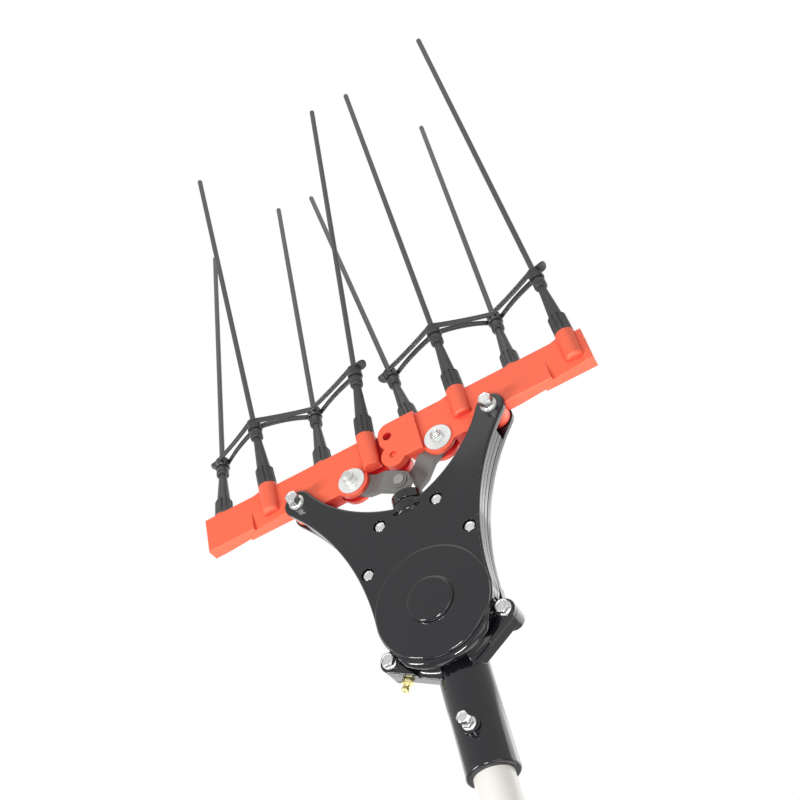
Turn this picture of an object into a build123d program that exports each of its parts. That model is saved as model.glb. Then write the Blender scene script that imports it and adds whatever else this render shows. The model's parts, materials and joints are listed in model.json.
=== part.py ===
"""Head of a pole-mounted olive harvester.

A drive shaft in the pole turns a pinion, the pinion turns a crank wheel, and the crank's roller lifts a
scotch yoke on a push rod. Two links carry the push rod's stroke to two combs hinged in the forked arms.

Millimetres. The origin is on the pole's axis at the pole's lower end, +Z runs up the pole to the tines,
+X is to the right and the front of the head faces -Y. The push rod is drawn at its lowest place.
"""
import os
from math import atan2, degrees, radians, sin, sqrt, tan

from build123d import *

# Pole and its socket
pole_radius = 15.0
pole_wall = 2.0
pole_seat_radius = 14.5
pole_exposed = 100.0
socket_radius = 20.0
socket_depth = 62.0
socket_end = pole_exposed
lock_bolt_z = socket_end + 31.0
lock_pad_front = -23.6
nipple_y = -9.0

# Depths, front to back
front_y = -31.0
parting_y = -14.5
back_y = -6.5
comb_y = -18.75
gasket = 0.5
cover_back = parting_y - gasket / 2
body_front = parting_y + gasket / 2
fork_gap = 14.0
fork_front = comb_y - fork_gap / 2
fork_back = comb_y + fork_gap / 2
ear_front = parting_y - 5.0
web_back = -4.5
lug_back = 0.5

# Outline of the head
gear_z = socket_end + 131.0
case_radius = 48.0
pivot_x = 91.0
pivot_z = socket_end + 280.0
arm_tip_radius = 12.5
arm_inner_arc = 120.0
neck_half = 11.0
neck_z = socket_end + 228.0
wall = 6.0
wall_inset = 1.0
fork_reach = 22.0
lug_x = 47.3
lug_z = socket_end + 106.0
lug_radius = 8.5
gusset_z = socket_end + 80.0
rib_tip_x = 29.0
dimple_x = 9.6
dimple_z = socket_end + 221.0
disc_radius = 46.7
boss_radius = 18.7
disc_rise = 1.5
boss_rise = 2.0
case_draft = 8.0
rear_bulge_radius = 44.0
axle_boss_radius = 18.5
axle_boss_back = 18.0
lock_pad_radius = 7.4
rod_boss_radius = 15.0
screw_places = [(25.5, socket_end + 217.4), (44.6, socket_end + 179.0)]
screw_column_radius = 7.5

# Fasteners of M6 and M5 size
bolt_radius = 3.0
hex_flat = 5.0
flange_radius = 6.4
pivot_head = 9.4
lug_head = 5.8
link_head = 6.5
screw_radius = 2.5
screw_hex_flat = 4.0
screw_head = 4.4
screw_seat = front_y + 5.2
screw_recess_radius = 5.6
washer = 1.6
spring_washer = 1.8
fender_radius = 12.0
nut_hexagon = 4.2
nut_height = 6.0
nut_collar_radius = 4.4
lock_head = 4.2
lock_nut_height = 5.0
lock_stand = 8.8

# Push rod, its guide and the links
rod_radius = 6.0
rod_pin_z = socket_end + 253.5
eye_radius = 9.5
eye_thickness = 7.0
guide_low = socket_end + 190.0
guide_high = socket_end + 217.0
bush_radius = 9.0
gland_top = socket_end + 241.0
gland_radius = 13.8
gland_spigot_radius = 11.5
seal_seat_radius = 9.5
seal_seat_depth = 5.0
link_bolt_x = 41.0
link_bolt_z = socket_end + 278.5
link_half_width = 9.5
link_thickness = 5.0
link_joggle = 6.35
link_pin_radius = 4.0
link_play = 0.7

# Crank and gears
throw = 8.0
yoke_half_depth = 5.0
roller_radius = 6.0
wheel_front = comb_y + rod_radius + 0.3
wheel_radius = 34.0
wheel_web = 2.8
face_teeth = 36
pinion_teeth = 10
tooth_mean_radius = 28.8
tooth_face = 6.0
tooth_height = 3.2
pinion_tip_radius = 9.4
pinion_root_radius = 6.0
gear_cavity_radius = 40.0
bearing_low = socket_end + 65.0
bearing_width = 8.0
bearing_gap = 8.0
bearing_high = bearing_low + 2 * bearing_width + bearing_gap
pinion_bearing_radius = 13.0
pinion_shank_radius = 5.0
pinion_pocket_radius = 10.5
axle_bearing_radius = 14.0
axle_radius = 6.0
crank_pin_radius = 3.5
shaft_radius = 4.0
shaft_square = 4.9

# Combs, drawn for the left side
comb_thickness = 13.0
comb_front = comb_y - comb_thickness / 2
comb_back = comb_y + comb_thickness / 2
beam_end_x = -183.0
beam_inner_x = -12.0
beam_low = socket_end + 281.0
beam_high = socket_end + 316.2
boss_top = socket_end + 319.0
tine_boss_radius = 8.4
boss_foot = socket_end + 288.0
tine_offset = 5.0
barrel_radius = 11.0
pivot_sleeve_radius = 5.0
pivot_bush_radius = 7.0
clevis_radius = 14.5
clevis_gap = 5.6
clevis_slot_radius = 13.5
lug_front = comb_y + 0.5
lug_rear = comb_y + 10.25
lug_reach = 8.5
lug_lobe_radius = 11.5

# Tines: place along the comb, side (-1 front, 1 back), lean along the comb and lean to the side
tine_places = [(-169.6, 1, 1.0, 7.0), (-118.2, -1, 0.0, 4.8), (-67.2, 1, 0.0, 5.0), (-20.3, -1, 6.6, 5.8)]
tine_radius = 2.5
tine_start = 30.0
tine_end = 426.0
holder_spigot_radius = 5.0
holder_spigot = 12.0
collar_height = 18.5
flutes = 10
strap_seat_radius = 4.8
holder_top = 75.5
strap_height = 70.0
eyelet_radius = 7.1
eyelet_height = 10.0
strand_height = 5.6
strand_thickness = 1.9
strand_radius = 6.8
front_bow = 1.2
rear_bow = 4.6

# Fits
running = 0.05
press = 0.02


def slab(outline, front, back):
    """Solid of an outline drawn in x and z, between two depths."""
    return extrude(Plane.XZ.offset(-back) * outline, amount=back - front)


def rod_y(x, z, radius, front, back):
    """Round bar along the depth."""
    return slab(Pos(x, z) * Circle(radius), front, back)


def ring_y(x, z, inner, outer, front, back):
    """Flat ring or tube along the depth."""
    return rod_y(x, z, outer, front, back) - rod_y(x, z, inner, front, back)


def hex_y(x, z, flat, front, back):
    """Hexagon bar along the depth; flat is half the width across flats."""
    return slab(Pos(x, z) * RegularPolygon(flat, 6, major_radius=False), front, back)


def rod_z(x, y, radius, low, high):
    """Round bar along the pole."""
    return Pos(x, y, low) * Cylinder(radius, high - low, align=(Align.CENTER, Align.CENTER, Align.MIN))


def ring_z(x, y, inner, outer, low, high):
    """Ring or tube along the pole."""
    return rod_z(x, y, outer, low, high) - rod_z(x, y, inner, low, high)


def block(x0, x1, y0, y1, z0, z1):
    """Rectangular block between limits."""
    return Pos((x0 + x1) / 2, (y0 + y1) / 2, (z0 + z1) / 2) * Box(x1 - x0, y1 - y0, z1 - z0)


def both_sides(solid):
    """A solid and its mirror image across the pole's plane."""
    return [solid, mirror(solid, about=Plane.YZ)]


def arc(centre, start, end):
    """Shorter arc about a centre between two points."""
    middle = centre + ((start - centre) + (end - centre)).normalized() * (start - centre).length
    return ThreePointArc(start, middle, end)


def head_outline():
    """Y-shaped outline: two arms with round tips over the round gear case."""
    pivot = Vector(pivot_x, pivot_z)
    waist = Vector(case_radius, gear_z)
    neck = Vector(neck_half, neck_z)
    # The outer arc leaves the waist upright and meets the arm's tip circle from outside.
    across = case_radius - pivot_x
    rise = pivot_z - gear_z
    outer_arc = (across**2 + rise**2 - arm_tip_radius**2) / (2 * (arm_tip_radius - across))
    outer_centre = Vector(case_radius + outer_arc, gear_z)
    # The inner arc starts at the neck and meets the same tip circle from outside.
    span = (pivot - neck).length
    along = (arm_inner_arc**2 - (arm_inner_arc + arm_tip_radius) ** 2 + span**2) / (2 * span)
    up = sqrt(arm_inner_arc**2 - along**2)
    unit = (pivot - neck).normalized()
    inner_centre = neck + unit * along + Vector(-unit.Y, unit.X) * up
    tip_inner = pivot + (inner_centre - pivot).normalized() * arm_tip_radius
    tip_outer = pivot + (outer_centre - pivot).normalized() * arm_tip_radius
    tip_far = pivot - ((tip_inner - pivot) + (tip_outer - pivot)).normalized() * arm_tip_radius
    right = [
        arc(inner_centre, neck, tip_inner),
        ThreePointArc(tip_inner, tip_far, tip_outer),
        arc(outer_centre, tip_outer, waist),
    ]
    left = [mirror(edge, about=Plane.YZ) for edge in right]
    top = Line((-neck_half, neck_z), (neck_half, neck_z))
    bottom = ThreePointArc((-case_radius, gear_z), (0, gear_z - case_radius), (case_radius, gear_z))
    return make_face(right + left + [top, bottom])


def gusset_edge():
    """Ends of the straight edge from the pole socket up to the lug's round, right side."""
    corner = Vector(socket_radius, gusset_z)
    lug = Vector(lug_x, lug_z)
    reach = (lug - corner).length
    tangent = sqrt(reach**2 - lug_radius**2)
    unit = (lug - corner).normalized()
    side = Vector(unit.Y, -unit.X)
    touch = corner + unit * (tangent**2 / reach) + side * (tangent * lug_radius / reach)
    return corner, touch


def gusset_outline():
    """Lug with the straight web that runs down from it to the pole socket, right side."""
    corner, touch = gusset_edge()
    lug = Vector(lug_x, lug_z)
    inner = corner + (corner - touch) * 0.25
    points = [inner, touch, lug, Vector(case_radius, gear_z), Vector(inner.X, gear_z)]
    web = Polygon(*[(p.X, p.Y) for p in points], align=None)
    return web + Pos(lug_x, lug_z) * Circle(lug_radius)


def wall_outline():
    """Outline of the walls between the front and rear plates, a little inside the plates' edges."""
    return offset(head_outline(), -wall_inset, kind=Kind.INTERSECTION)


def case_skirt(clearance):
    """Draft on the cover's round wall below, spreading towards the parting plane."""
    rim = case_radius - wall_inset + clearance
    depth = cover_back - fork_front
    spread = depth * tan(radians(case_draft))
    cone = Cone(rim + spread, rim, depth, align=(Align.CENTER, Align.CENTER, Align.MIN))
    skirt = Pos(0, cover_back, gear_z) * Rot(90, 0, 0) * cone
    return skirt & block(-60, 60, fork_front, cover_back, gear_z - 60, gear_z - 25)


def rib_outline():
    """Narrow web on the cover, from the lug's round down along the gusset's edge, right side."""
    corner, touch = gusset_edge()
    slope = (touch - corner).normalized()
    tip = corner + slope * ((rib_tip_x - corner.X) / slope.X)
    shoulder = Vector(lug_x, lug_z) - slope * lug_radius
    points = [tip, touch, Vector(lug_x, lug_z), shoulder]
    return Polygon(*[(p.X, p.Y) for p in points], align=None) + Pos(lug_x, lug_z) * Circle(lug_radius)


def cavity_outline():
    """Hollow inside the walls, leaving the rod guide and the screw columns solid."""
    hollow = offset(head_outline(), -wall, kind=Kind.INTERSECTION)
    guide = Pos(0, (guide_low + neck_z) / 2) * Rectangle(40, neck_z - guide_low)
    columns = [Pos(side * x, z) * Circle(screw_column_radius) for x, z in screw_places for side in (-1, 1)]
    return hollow - guide - columns


def screw_holes(radius, front, back):
    """Holes on the four cover screws."""
    return [rod_y(side * x, z, radius, front, back) for x, z in screw_places for side in (-1, 1)]


def fork_cuts(front, back):
    """Room for the combs' barrels between the fork plates of both arms."""
    return both_sides(rod_y(pivot_x, pivot_z, fork_reach, front, back))


def front_cover():
    """Front half of the head: arms' front plates, raised disc, rod boss and two ears for the lug bolts."""
    outline = head_outline()
    cover = slab(outline, front_y, fork_front)
    front_rim = cover.faces().sort_by(Axis.Y)[0].outer_wire().edges()
    cover = fillet(front_rim, 2.0)
    cover += slab(wall_outline(), fork_front, cover_back)
    cover += case_skirt(0)
    rib = slab(rib_outline(), ear_front, cover_back)
    rib = fillet(rib.faces().sort_by(Axis.Y)[0].outer_wire().edges(), 1.0)
    cover += both_sides(rib)
    disc = rod_y(0, gear_z, disc_radius, front_y - disc_rise, front_y + 3)
    disc = fillet(disc.faces().sort_by(Axis.Y)[0].edges(), 1.0)
    boss_front = front_y - disc_rise - boss_rise
    boss = rod_y(0, gear_z, boss_radius, boss_front, front_y - disc_rise)
    boss = fillet(boss.faces().sort_by(Axis.Y)[0].edges(), 1.2)
    rod_boss = rod_z(0, comb_y, rod_boss_radius, guide_high + 1.5, neck_z + 1.5)
    rod_boss -= block(-20, 20, cover_back, 0, socket_end + 200, gland_top)
    rod_boss = fillet(rod_boss.faces().sort_by(Axis.Z)[0].edges().filter_by(GeomType.CIRCLE), 3.0)
    cover += [disc, boss, rod_boss]
    cover -= slab(cavity_outline(), fork_front, cover_back)
    cover -= rod_y(0, gear_z, gear_cavity_radius, front_y + 4, cover_back)
    cover -= fork_cuts(fork_front, cover_back)
    cover -= both_sides(rod_y(pivot_x, pivot_z, bolt_radius + 0.1, front_y, fork_front))
    cover -= both_sides(rod_y(lug_x, lug_z, bolt_radius + 0.2, ear_front, cover_back))
    cover -= both_sides(rod_y(lug_x, lug_z, flange_radius + 0.5, front_y - 5, ear_front))
    cover -= screw_holes(screw_radius + 0.2, front_y, cover_back)
    cover -= screw_holes(screw_recess_radius, front_y, screw_seat)
    cover -= guide_bores()
    cover -= both_sides(rod_y(dimple_x, dimple_z, 2.2, front_y - 4, front_y + 3))
    return cover


def guide_bores():
    """Bore of the rod bush and the wider seat of the gland above it."""
    return rod_z(0, comb_y, bush_radius + press, guide_low - 1, guide_high) + rod_z(
        0, comb_y, gland_spigot_radius + press, guide_high, neck_z + 20
    )


def rear_body():
    """Rear casting: arms' rear plates, gear case, bearing seats, lugs and the pole socket."""
    body = slab(head_outline(), fork_back, back_y)
    back_rim = body.faces().sort_by(Axis.Y)[-1].outer_wire().edges()
    body = fillet(back_rim, 1.5)
    body += slab(wall_outline(), body_front, fork_back)
    body += both_sides(slab(gusset_outline(), body_front, web_back))
    body += both_sides(rod_y(lug_x, lug_z, lug_radius, body_front, lug_back))
    socket = rod_z(0, 0, socket_radius, socket_end, gear_z - 8)
    socket = fillet(socket.edges().sort_by(Axis.Z)[0], 2.0)
    socket -= rod_y(0, gear_z, case_radius - wall_inset + 0.3, front_y - 10, body_front)
    socket -= case_skirt(0.3)
    body += socket
    bulge = rod_y(0, gear_z, rear_bulge_radius, body_front, -0.5)
    bulge = fillet(bulge.faces().sort_by(Axis.Y)[-1].edges(), 3.0)
    axle_boss = rod_y(0, gear_z, axle_boss_radius, body_front, axle_boss_back)
    axle_boss = fillet(axle_boss.faces().sort_by(Axis.Y)[-1].edges(), 2.5)
    lock_pad = rod_y(0, lock_bolt_z, lock_pad_radius, lock_pad_front, -pole_radius)
    body += [bulge, axle_boss, lock_pad]
    # Hollows: arms, gear, rod guide, fork, pole, pinion and bearings
    body -= slab(cavity_outline(), body_front, fork_back)
    body -= rod_y(0, gear_z, gear_cavity_radius, body_front, -5.5)
    body -= fork_cuts(body_front, fork_back)
    body -= guide_bores()
    body -= rod_z(0, 0, pole_seat_radius + running, socket_end, socket_end + socket_depth)
    body -= rod_z(0, 0, pinion_bearing_radius + press, socket_end + socket_depth, bearing_high + 0.4)
    body -= rod_z(0, 0, pinion_pocket_radius, bearing_high + 0.4, socket_end + 109)
    body -= rod_y(0, gear_z, axle_bearing_radius + press, -5.5, 13.4)
    # Fastener holes
    body -= both_sides(rod_y(pivot_x, pivot_z, bolt_radius + 0.1, fork_back, 0))
    body -= both_sides(rod_y(lug_x, lug_z, bolt_radius + press, body_front, lug_back - 3))
    body -= screw_holes(screw_radius + press, body_front, back_y - 1)
    body -= rod_y(0, lock_bolt_z, screw_radius + press, lock_pad_front, -pole_radius + 2)
    body -= nipple_bar(1.5, -22, 0) + nipple_bar(3.0 + press, -6, 1)
    return body


def nipple_plane(start):
    """Plane across the grease nipple's axis, at a length outwards from the gusset's edge."""
    corner, touch = gusset_edge()
    place = corner + (touch - corner) * 0.65
    slope = (touch - corner).normalized()
    outwards = Vector(-slope.Y, 0, -slope.X)
    seat = Vector(-place.X, nipple_y, place.Y)
    return Plane(origin=seat + outwards * start, z_dir=outwards)


def nipple_bar(radius, start, end):
    """Round bar on the grease nipple's axis."""
    return nipple_plane(start) * upright(radius, 0, end - start)


def grease_nipple():
    """Brass nipple: thread, hexagon, neck and ball head with its bore."""
    hexagon = extrude(nipple_plane(0.7) * RegularPolygon(4.0, 6, major_radius=False), amount=3.3)
    neck = nipple_bar(1.9, 4.0, 6.5)
    head = nipple_bar(3.2, 6.5, 10.0)
    head = fillet(head.edges().filter_by(GeomType.CIRCLE), 1.2)
    return nipple_bar(3.0, -5, 0.7) + hexagon + neck + head - nipple_bar(0.8, -5, 10.0)


def body_gasket():
    """Flat gasket on the walls between the two halves."""
    sheet = slab(wall_outline() - cavity_outline(), cover_back, body_front)
    sheet -= rod_y(0, gear_z, gear_cavity_radius, cover_back, body_front)
    sheet -= fork_cuts(cover_back, body_front)
    sheet -= guide_bores()
    sheet -= screw_holes(screw_radius + 0.2, cover_back, body_front)
    lugs = slab(rib_outline(), cover_back, body_front)
    lugs -= rod_y(lug_x, lug_z, bolt_radius + 0.2, cover_back, body_front)
    lugs -= rod_y(0, gear_z, case_radius - 2, cover_back, body_front)
    return sheet + both_sides(lugs)


def flange_bolt(x, z, seat, tip, head):
    """Hexagon flange bolt along the depth, seated on its flange; head is its height over the seat."""
    bolt = rod_y(x, z, flange_radius, seat - 1.8, seat) + hex_y(x, z, hex_flat, seat - head, seat - 1.8)
    return bolt + rod_y(x, z, bolt_radius, seat, tip)


def lock_nut(x, z, seat):
    """Hexagon nut with a round collar, seated at its front face."""
    nut = hex_y(x, z, hex_flat, seat, seat + nut_hexagon)
    nut += rod_y(x, z, nut_collar_radius, seat + nut_hexagon, seat + nut_height)
    return nut - rod_y(x, z, bolt_radius + press, seat, seat + nut_height)


def cover_screws():
    """Hexagon screws sunk in the cover."""
    screws = []
    for x, z in screw_places:
        screw = hex_y(x, z, screw_hex_flat, screw_seat - screw_head, screw_seat)
        screws += both_sides(screw + rod_y(x, z, screw_radius, screw_seat, back_y - 1.5))
    return Compound(screws)


def rod_gland():
    """Turned gland on top of the neck: flange ring, groove and the spigot pressed into the head."""
    gland = rod_z(0, comb_y, gland_spigot_radius, guide_high, neck_z + 4)
    flange = rod_z(0, comb_y, gland_radius, neck_z + 4, gland_top)
    flange = fillet(flange.edges().filter_by(GeomType.CIRCLE), 1.0)
    gland += flange
    gland -= rod_z(0, comb_y, rod_radius + 0.4, guide_high, gland_top)
    return gland - rod_z(0, comb_y, seal_seat_radius, gland_top - seal_seat_depth, gland_top)


def gland_seal():
    """Wiper ring with a sloping lip in the gland's top recess."""
    rim = rod_radius + 0.08
    edge = seal_seat_radius - running
    profile = Polygon((rim, 0), (edge, 0), (edge, 4.6), (rim + 1.6, 4.6), (rim, 3.2), align=None)
    return Pos(0, comb_y, gland_top - seal_seat_depth) * revolve(Plane.XZ * profile, Axis.Z)


def circlip_y(x, z, inner, front, back):
    """Open snap ring along the depth."""
    ring = ring_y(x, z, inner, inner + 2.2, front, back)
    return ring - block(x - 1.5, x + 1.5, front, back, z - inner - 4, z)


def circlip_z(inner, low, high):
    """Open snap ring on the pole's axis."""
    return ring_z(0, 0, inner, inner + 2.2, low, high) - block(-1.5, 1.5, -inner - 4, 0, low, high)


def bearing_z(inner, outer, low, width):
    """Sealed ball bearing on the pole's axis, with the shield grooves on its faces."""
    ring = ring_z(0, 0, inner, outer, low, low + width)
    groove = ring_z(0, 0, inner + 2.2, outer - 2.2, low, low + 0.6)
    return ring - groove - Pos(0, 0, width - 0.6) * groove


def bearing_y(inner, outer, front, width):
    """Sealed ball bearing on the crank axle."""
    ring = ring_y(0, gear_z, inner, outer, front, front + width)
    groove = ring_y(0, gear_z, inner + 2.2, outer - 2.2, front, front + 0.6)
    return ring - groove - Pos(0, width - 0.6, 0) * groove


def drive_pinion():
    """Spur pinion with its shank and a square socket for the drive shaft."""
    low = gear_z - tooth_mean_radius - tooth_face / 2 - 0.5
    high = low + tooth_face + 1.0
    pinion = rod_z(0, 0, pinion_root_radius, low, high)
    flank = Polygon((-1.2, 5.5), (1.2, 5.5), (0.5, pinion_tip_radius), (-0.5, pinion_tip_radius), align=None)
    tooth = extrude(Plane.XY.offset(low) * flank, amount=high - low)
    for number in range(pinion_teeth):
        pinion += Rot(0, 0, 180 + number * 360 / pinion_teeth) * tooth
    foot = socket_end + 63
    pinion += rod_z(0, 0, pinion_shank_radius - press, foot, low) + rod_z(0, 0, 6.5, bearing_high, low)
    pinion -= ring_z(0, 0, 4.3, 6, foot + 0.6, foot + 1.8)
    socket = Pos(0, 0, foot) * Box(5.0, 5.0, 16, align=(Align.CENTER, Align.CENTER, Align.MIN))
    return pinion - socket


def drive_shaft():
    """Long shaft in the pole with a square at each end."""
    half = shaft_square / 2
    shaft = rod_z(0, 0, shaft_radius, 18, socket_end + 61)
    top = block(-half, half, -half, half, socket_end + 61, socket_end + 77)
    foot = block(-half, half, -half, half, 4, 18)
    return shaft + top + foot


def crank_wheel():
    """Plain crank face in front, face-gear teeth behind, running into the pinion at the bottom."""
    wheel_back = wheel_front + wheel_web
    wheel = rod_y(0, gear_z, wheel_radius, wheel_front, wheel_back)
    wheel += rod_y(0, gear_z, 11, wheel_back, wheel_back + 4)
    flank = Polygon((-1.1, -0.5), (1.1, -0.5), (0.5, tooth_height), (-0.5, tooth_height), align=None)
    inside = tooth_mean_radius - tooth_face / 2
    tooth = extrude(Plane(origin=(0, wheel_back, gear_z + inside), x_dir=(1, 0, 0), z_dir=(0, 0, 1)) * flank,
                    amount=tooth_face)
    centre = Axis((0, 0, gear_z), (0, 1, 0))
    for number in range(face_teeth):
        wheel += tooth.rotate(centre, (number + 0.5) * 360 / face_teeth)
    return wheel - rod_y(0, gear_z, axle_radius, wheel_front + 1.2, wheel_back + 4)


def crank_axle():
    """Axle pressed into the wheel and carried by two bearings behind it."""
    axle = rod_y(0, gear_z, axle_radius - press, wheel_front + 1.2, 13)
    return axle - ring_y(0, gear_z, 5.4, 7, 11.6, 12.6)


def scotch_yoke():
    """Slotted crosshead at the foot of the push rod."""
    centre = gear_z - throw
    half_slot = throw + roller_radius + 0.5
    outline = Pos(0, centre) * RectangleRounded(2 * half_slot + 9, 2 * roller_radius + 9, 5)
    outline -= Pos(0, centre) * SlotOverall(2 * half_slot, 2 * (roller_radius + running))
    yoke = slab(outline, comb_y - yoke_half_depth, comb_y + yoke_half_depth)
    hub = rod_z(0, comb_y, 8, centre + roller_radius + 3, centre + roller_radius + 12)
    yoke += hub & block(-9, 9, comb_y - yoke_half_depth, comb_y + yoke_half_depth, centre, centre + 30)
    return yoke - rod_z(0, comb_y, 4 + press, centre + roller_radius + 2, centre + roller_radius + 12)


def push_rod():
    """Round rod with a threaded foot in the yoke and a flat eye on top."""
    foot = gear_z - throw + roller_radius + 2.5
    shoulder = gear_z - throw + roller_radius + 12
    rod = rod_z(0, comb_y, 4, foot, shoulder) + rod_z(0, comb_y, rod_radius, shoulder, rod_pin_z)
    half = eye_thickness / 2
    for front, back in ((comb_y - 10, comb_y - half), (comb_y + half, comb_y + 10)):
        rod -= block(-10, 10, front, back, rod_pin_z - 11.5, rod_pin_z + 10)
    rod += rod_y(0, rod_pin_z, eye_radius, comb_y - half, comb_y + half)
    return rod - rod_y(0, rod_pin_z, link_pin_radius + running, comb_y - half, comb_y + half)


def link(side):
    """Joggled flat link: its eye on the rod pin lies in front (side -1, left) or behind (side 1, right)."""
    run = Vector(side * link_bolt_x, link_bolt_z - rod_pin_z)
    length = run.length
    outline = Pos(length / 2, 0) * SlotCenterToCenter(length, 2 * link_half_width)
    outline -= Circle(link_pin_radius + running)
    outline -= Pos(length, 0) * Circle(bolt_radius + link_play)
    half = link_thickness / 2
    step = side * link_joggle
    lengths = [(-12, step), (17, step), (30, 0), (length + 12, 0)]
    profile = [(u, y + half) for u, y in lengths] + [(u, y - half) for u, y in reversed(lengths)]
    # The side view runs along the link's length and depth; the outline gives its width.
    band = extrude(Polygon(*profile, align=None), amount=2 * link_half_width, both=True)
    plate = extrude(Plane.XZ * outline, amount=30, both=True)
    angle = degrees(atan2(run.Y, run.X))
    return Pos(0, comb_y, rod_pin_z) * Rot(0, -angle, 0) * (plate & band)


def link_pin_back():
    """Depth of the link pin's rear end."""
    return comb_y + link_joggle + link_thickness / 2 + 3.4


def link_pin():
    """Headed pin through both links and the rod's eye."""
    front = comb_y - link_joggle - link_thickness / 2 - 1.8
    back = link_pin_back()
    pin = rod_y(0, rod_pin_z, link_pin_radius, front, back) + rod_y(0, rod_pin_z, 4.6, front - 1.0, front)
    return pin - ring_y(0, rod_pin_z, 3.4, 5, back - 1.7, back - 0.6)


def link_pin_washers():
    """Washer under the pin's head and washer under its circlip."""
    edge = link_joggle + link_thickness / 2 + 0.25
    front = ring_y(0, rod_pin_z, link_pin_radius + press, 6.7, comb_y - edge - 1.4, comb_y - edge)
    back = ring_y(0, rod_pin_z, link_pin_radius + press, 6.7, comb_y + edge, comb_y + edge + 1.3)
    return Compound([front, back])


def tine_frame(place):
    """Plane at the foot of a tine holder, its normal along the tine."""
    x, side, lean_along, lean_side = place
    direction = Vector(sin(radians(lean_along)), side * sin(radians(lean_side)), 1).normalized()
    return Plane(
        origin=(x, comb_y + side * tine_offset, boss_top),
        x_dir=(direction.Z, 0, -direction.X),
        z_dir=direction,
    )


def upright(radius, low, high):
    """Round bar on a local axis."""
    return Pos(0, 0, low) * Cylinder(radius, high - low, align=(Align.CENTER, Align.CENTER, Align.MIN))


def relief(x, face, inward, reach):
    """Sharp wedge that the mould leaves in the lower part of the beam's face."""
    corner = [(x, face, beam_low + 19), (x, face + inward, beam_low), (x, face - inward, beam_low)]
    triangle = make_face(Polyline(*corner, close=True))
    return loft([triangle, Vertex(x + reach, face, beam_low)])


def comb_solid():
    """Moulded comb: beam, tine bosses, pivot barrel, clevis for the link and the overlapping inner lug."""
    beam = block(beam_end_x, beam_inner_x, comb_front, comb_back, beam_low, beam_high)
    beam = fillet(beam.edges().filter_by(Axis.X) + beam.edges().filter_by(Axis.Z), 1.2)
    barrel = rod_y(-pivot_x, pivot_z, barrel_radius, comb_front, comb_back)
    clevis = rod_y(-link_bolt_x, link_bolt_z, clevis_radius, comb_front, comb_back)
    web_points = [
        (-pivot_x, pivot_z - barrel_radius + 1),
        (-link_bolt_x - 14, pivot_z - barrel_radius + 2.5),
        (-link_bolt_x, link_bolt_z - clevis_radius),
        (-link_bolt_x, beam_low + 2),
        (-pivot_x, beam_low + 2),
    ]
    web = slab(Polygon(*web_points, align=None), comb_front, comb_back)
    # The inner lug lies behind and passes the head's middle.
    lug_outline = Polygon(
        (-27.5, beam_low - 6), (-1, beam_low - 6), (lug_reach - 1.7, beam_low + 12.5),
        (lug_reach, beam_low + 16), (lug_reach, beam_high + 0.5), (-27.5, beam_high + 0.5),
        align=None,
    )
    lug_outline = fillet(lug_outline.vertices().sort_by_distance((lug_reach, beam_high))[0], 11)
    lug_outline += Pos(-1, beam_low + 0.5) * Circle(lug_lobe_radius)
    lug = slab(lug_outline, lug_front, lug_rear)
    lug = fillet(lug.faces().sort_by(Axis.Y)[-1].outer_wire().edges(), 1.0)
    lug -= rod_y(0, beam_low + 22, 4, lug_front, lug_rear)
    lug -= rod_y(-1, beam_low + 0.5, 3.2, lug_rear - 1.5, lug_rear)
    comb = beam + [barrel, clevis, web, lug]
    for place in tine_places:
        x, side, lean_along, lean_side = place
        y = comb_y + side * tine_offset
        inner = abs(x) < 30
        boss = rod_z(x, y, tine_boss_radius, beam_low if inner else boss_foot, boss_top + 2)
        comb += boss if inner else fillet(boss.edges().sort_by(Axis.Z)[0], 3)
        if not inner:
            # A sloping shoulder leads from the beam's top edge up to the boss.
            low_end = x + side * 18
            shoulder = [(x, beam_high - 2), (low_end, beam_high - 2), (low_end, beam_high)]
            shoulder += [(x + side * 7, boss_top), (x, boss_top)]
            front, back = (comb_y, comb_back - 1.5) if side > 0 else (comb_front + 1.5, comb_y)
            comb += slab(Polygon(*shoulder[:: int(side)], align=None), front, back)
    # Clevis slot for the link, bores, tine sockets and the mould's reliefs
    left = -link_bolt_x - clevis_slot_radius
    top = link_bolt_z + clevis_slot_radius
    low = link_bolt_z - 40
    slot = Polygon((left, link_bolt_z), (left, low), (20, low), (20, top), (-link_bolt_x, top), align=None)
    slot += Pos(-link_bolt_x, link_bolt_z) * Circle(clevis_slot_radius)
    comb -= slab(slot, comb_y - clevis_gap / 2, comb_y + clevis_gap / 2)
    comb -= rod_y(-pivot_x, pivot_z, pivot_bush_radius + press, comb_front, comb_back)
    comb -= rod_y(-link_bolt_x, link_bolt_z, bolt_radius + press, comb_front, comb_back)
    for place in tine_places:
        frame = tine_frame(place)
        comb -= frame * upright(12, 0, 12)
        comb -= frame * upright(holder_spigot_radius + press, -holder_spigot - 1, 1)
    comb -= relief(-137, comb_front, 3.0, 34)
    comb -= relief(-146, comb_back, -3.0, -34)
    return comb


def tine_holder():
    """Rubber holder on its own axis: spigot, fluted collar, long cone and the strap's seat."""
    hole = tine_radius + press
    spigot = [(hole, -holder_spigot), (holder_spigot_radius, -holder_spigot), (holder_spigot_radius, 0)]
    collar = [(8.3, 0), (8.0, collar_height), (6.2, collar_height)]
    cap = [(3.6, 54.5), (5.2, 55), (5.75, 55.8), (5.75, 63), (strap_seat_radius, 64)]
    top = [(strap_seat_radius, holder_top - 0.9), (strap_seat_radius - 0.9, holder_top), (hole, holder_top)]
    holder = revolve(Plane.XZ * Polygon(*spigot, *collar, *cap, *top, align=None), Axis.Z)
    flute = Pos(8.9, 0) * upright(1.4, 1.5, collar_height)
    for number in range(flutes):
        holder -= Rot(0, 0, number * 360 / flutes) * flute
    return holder


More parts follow.
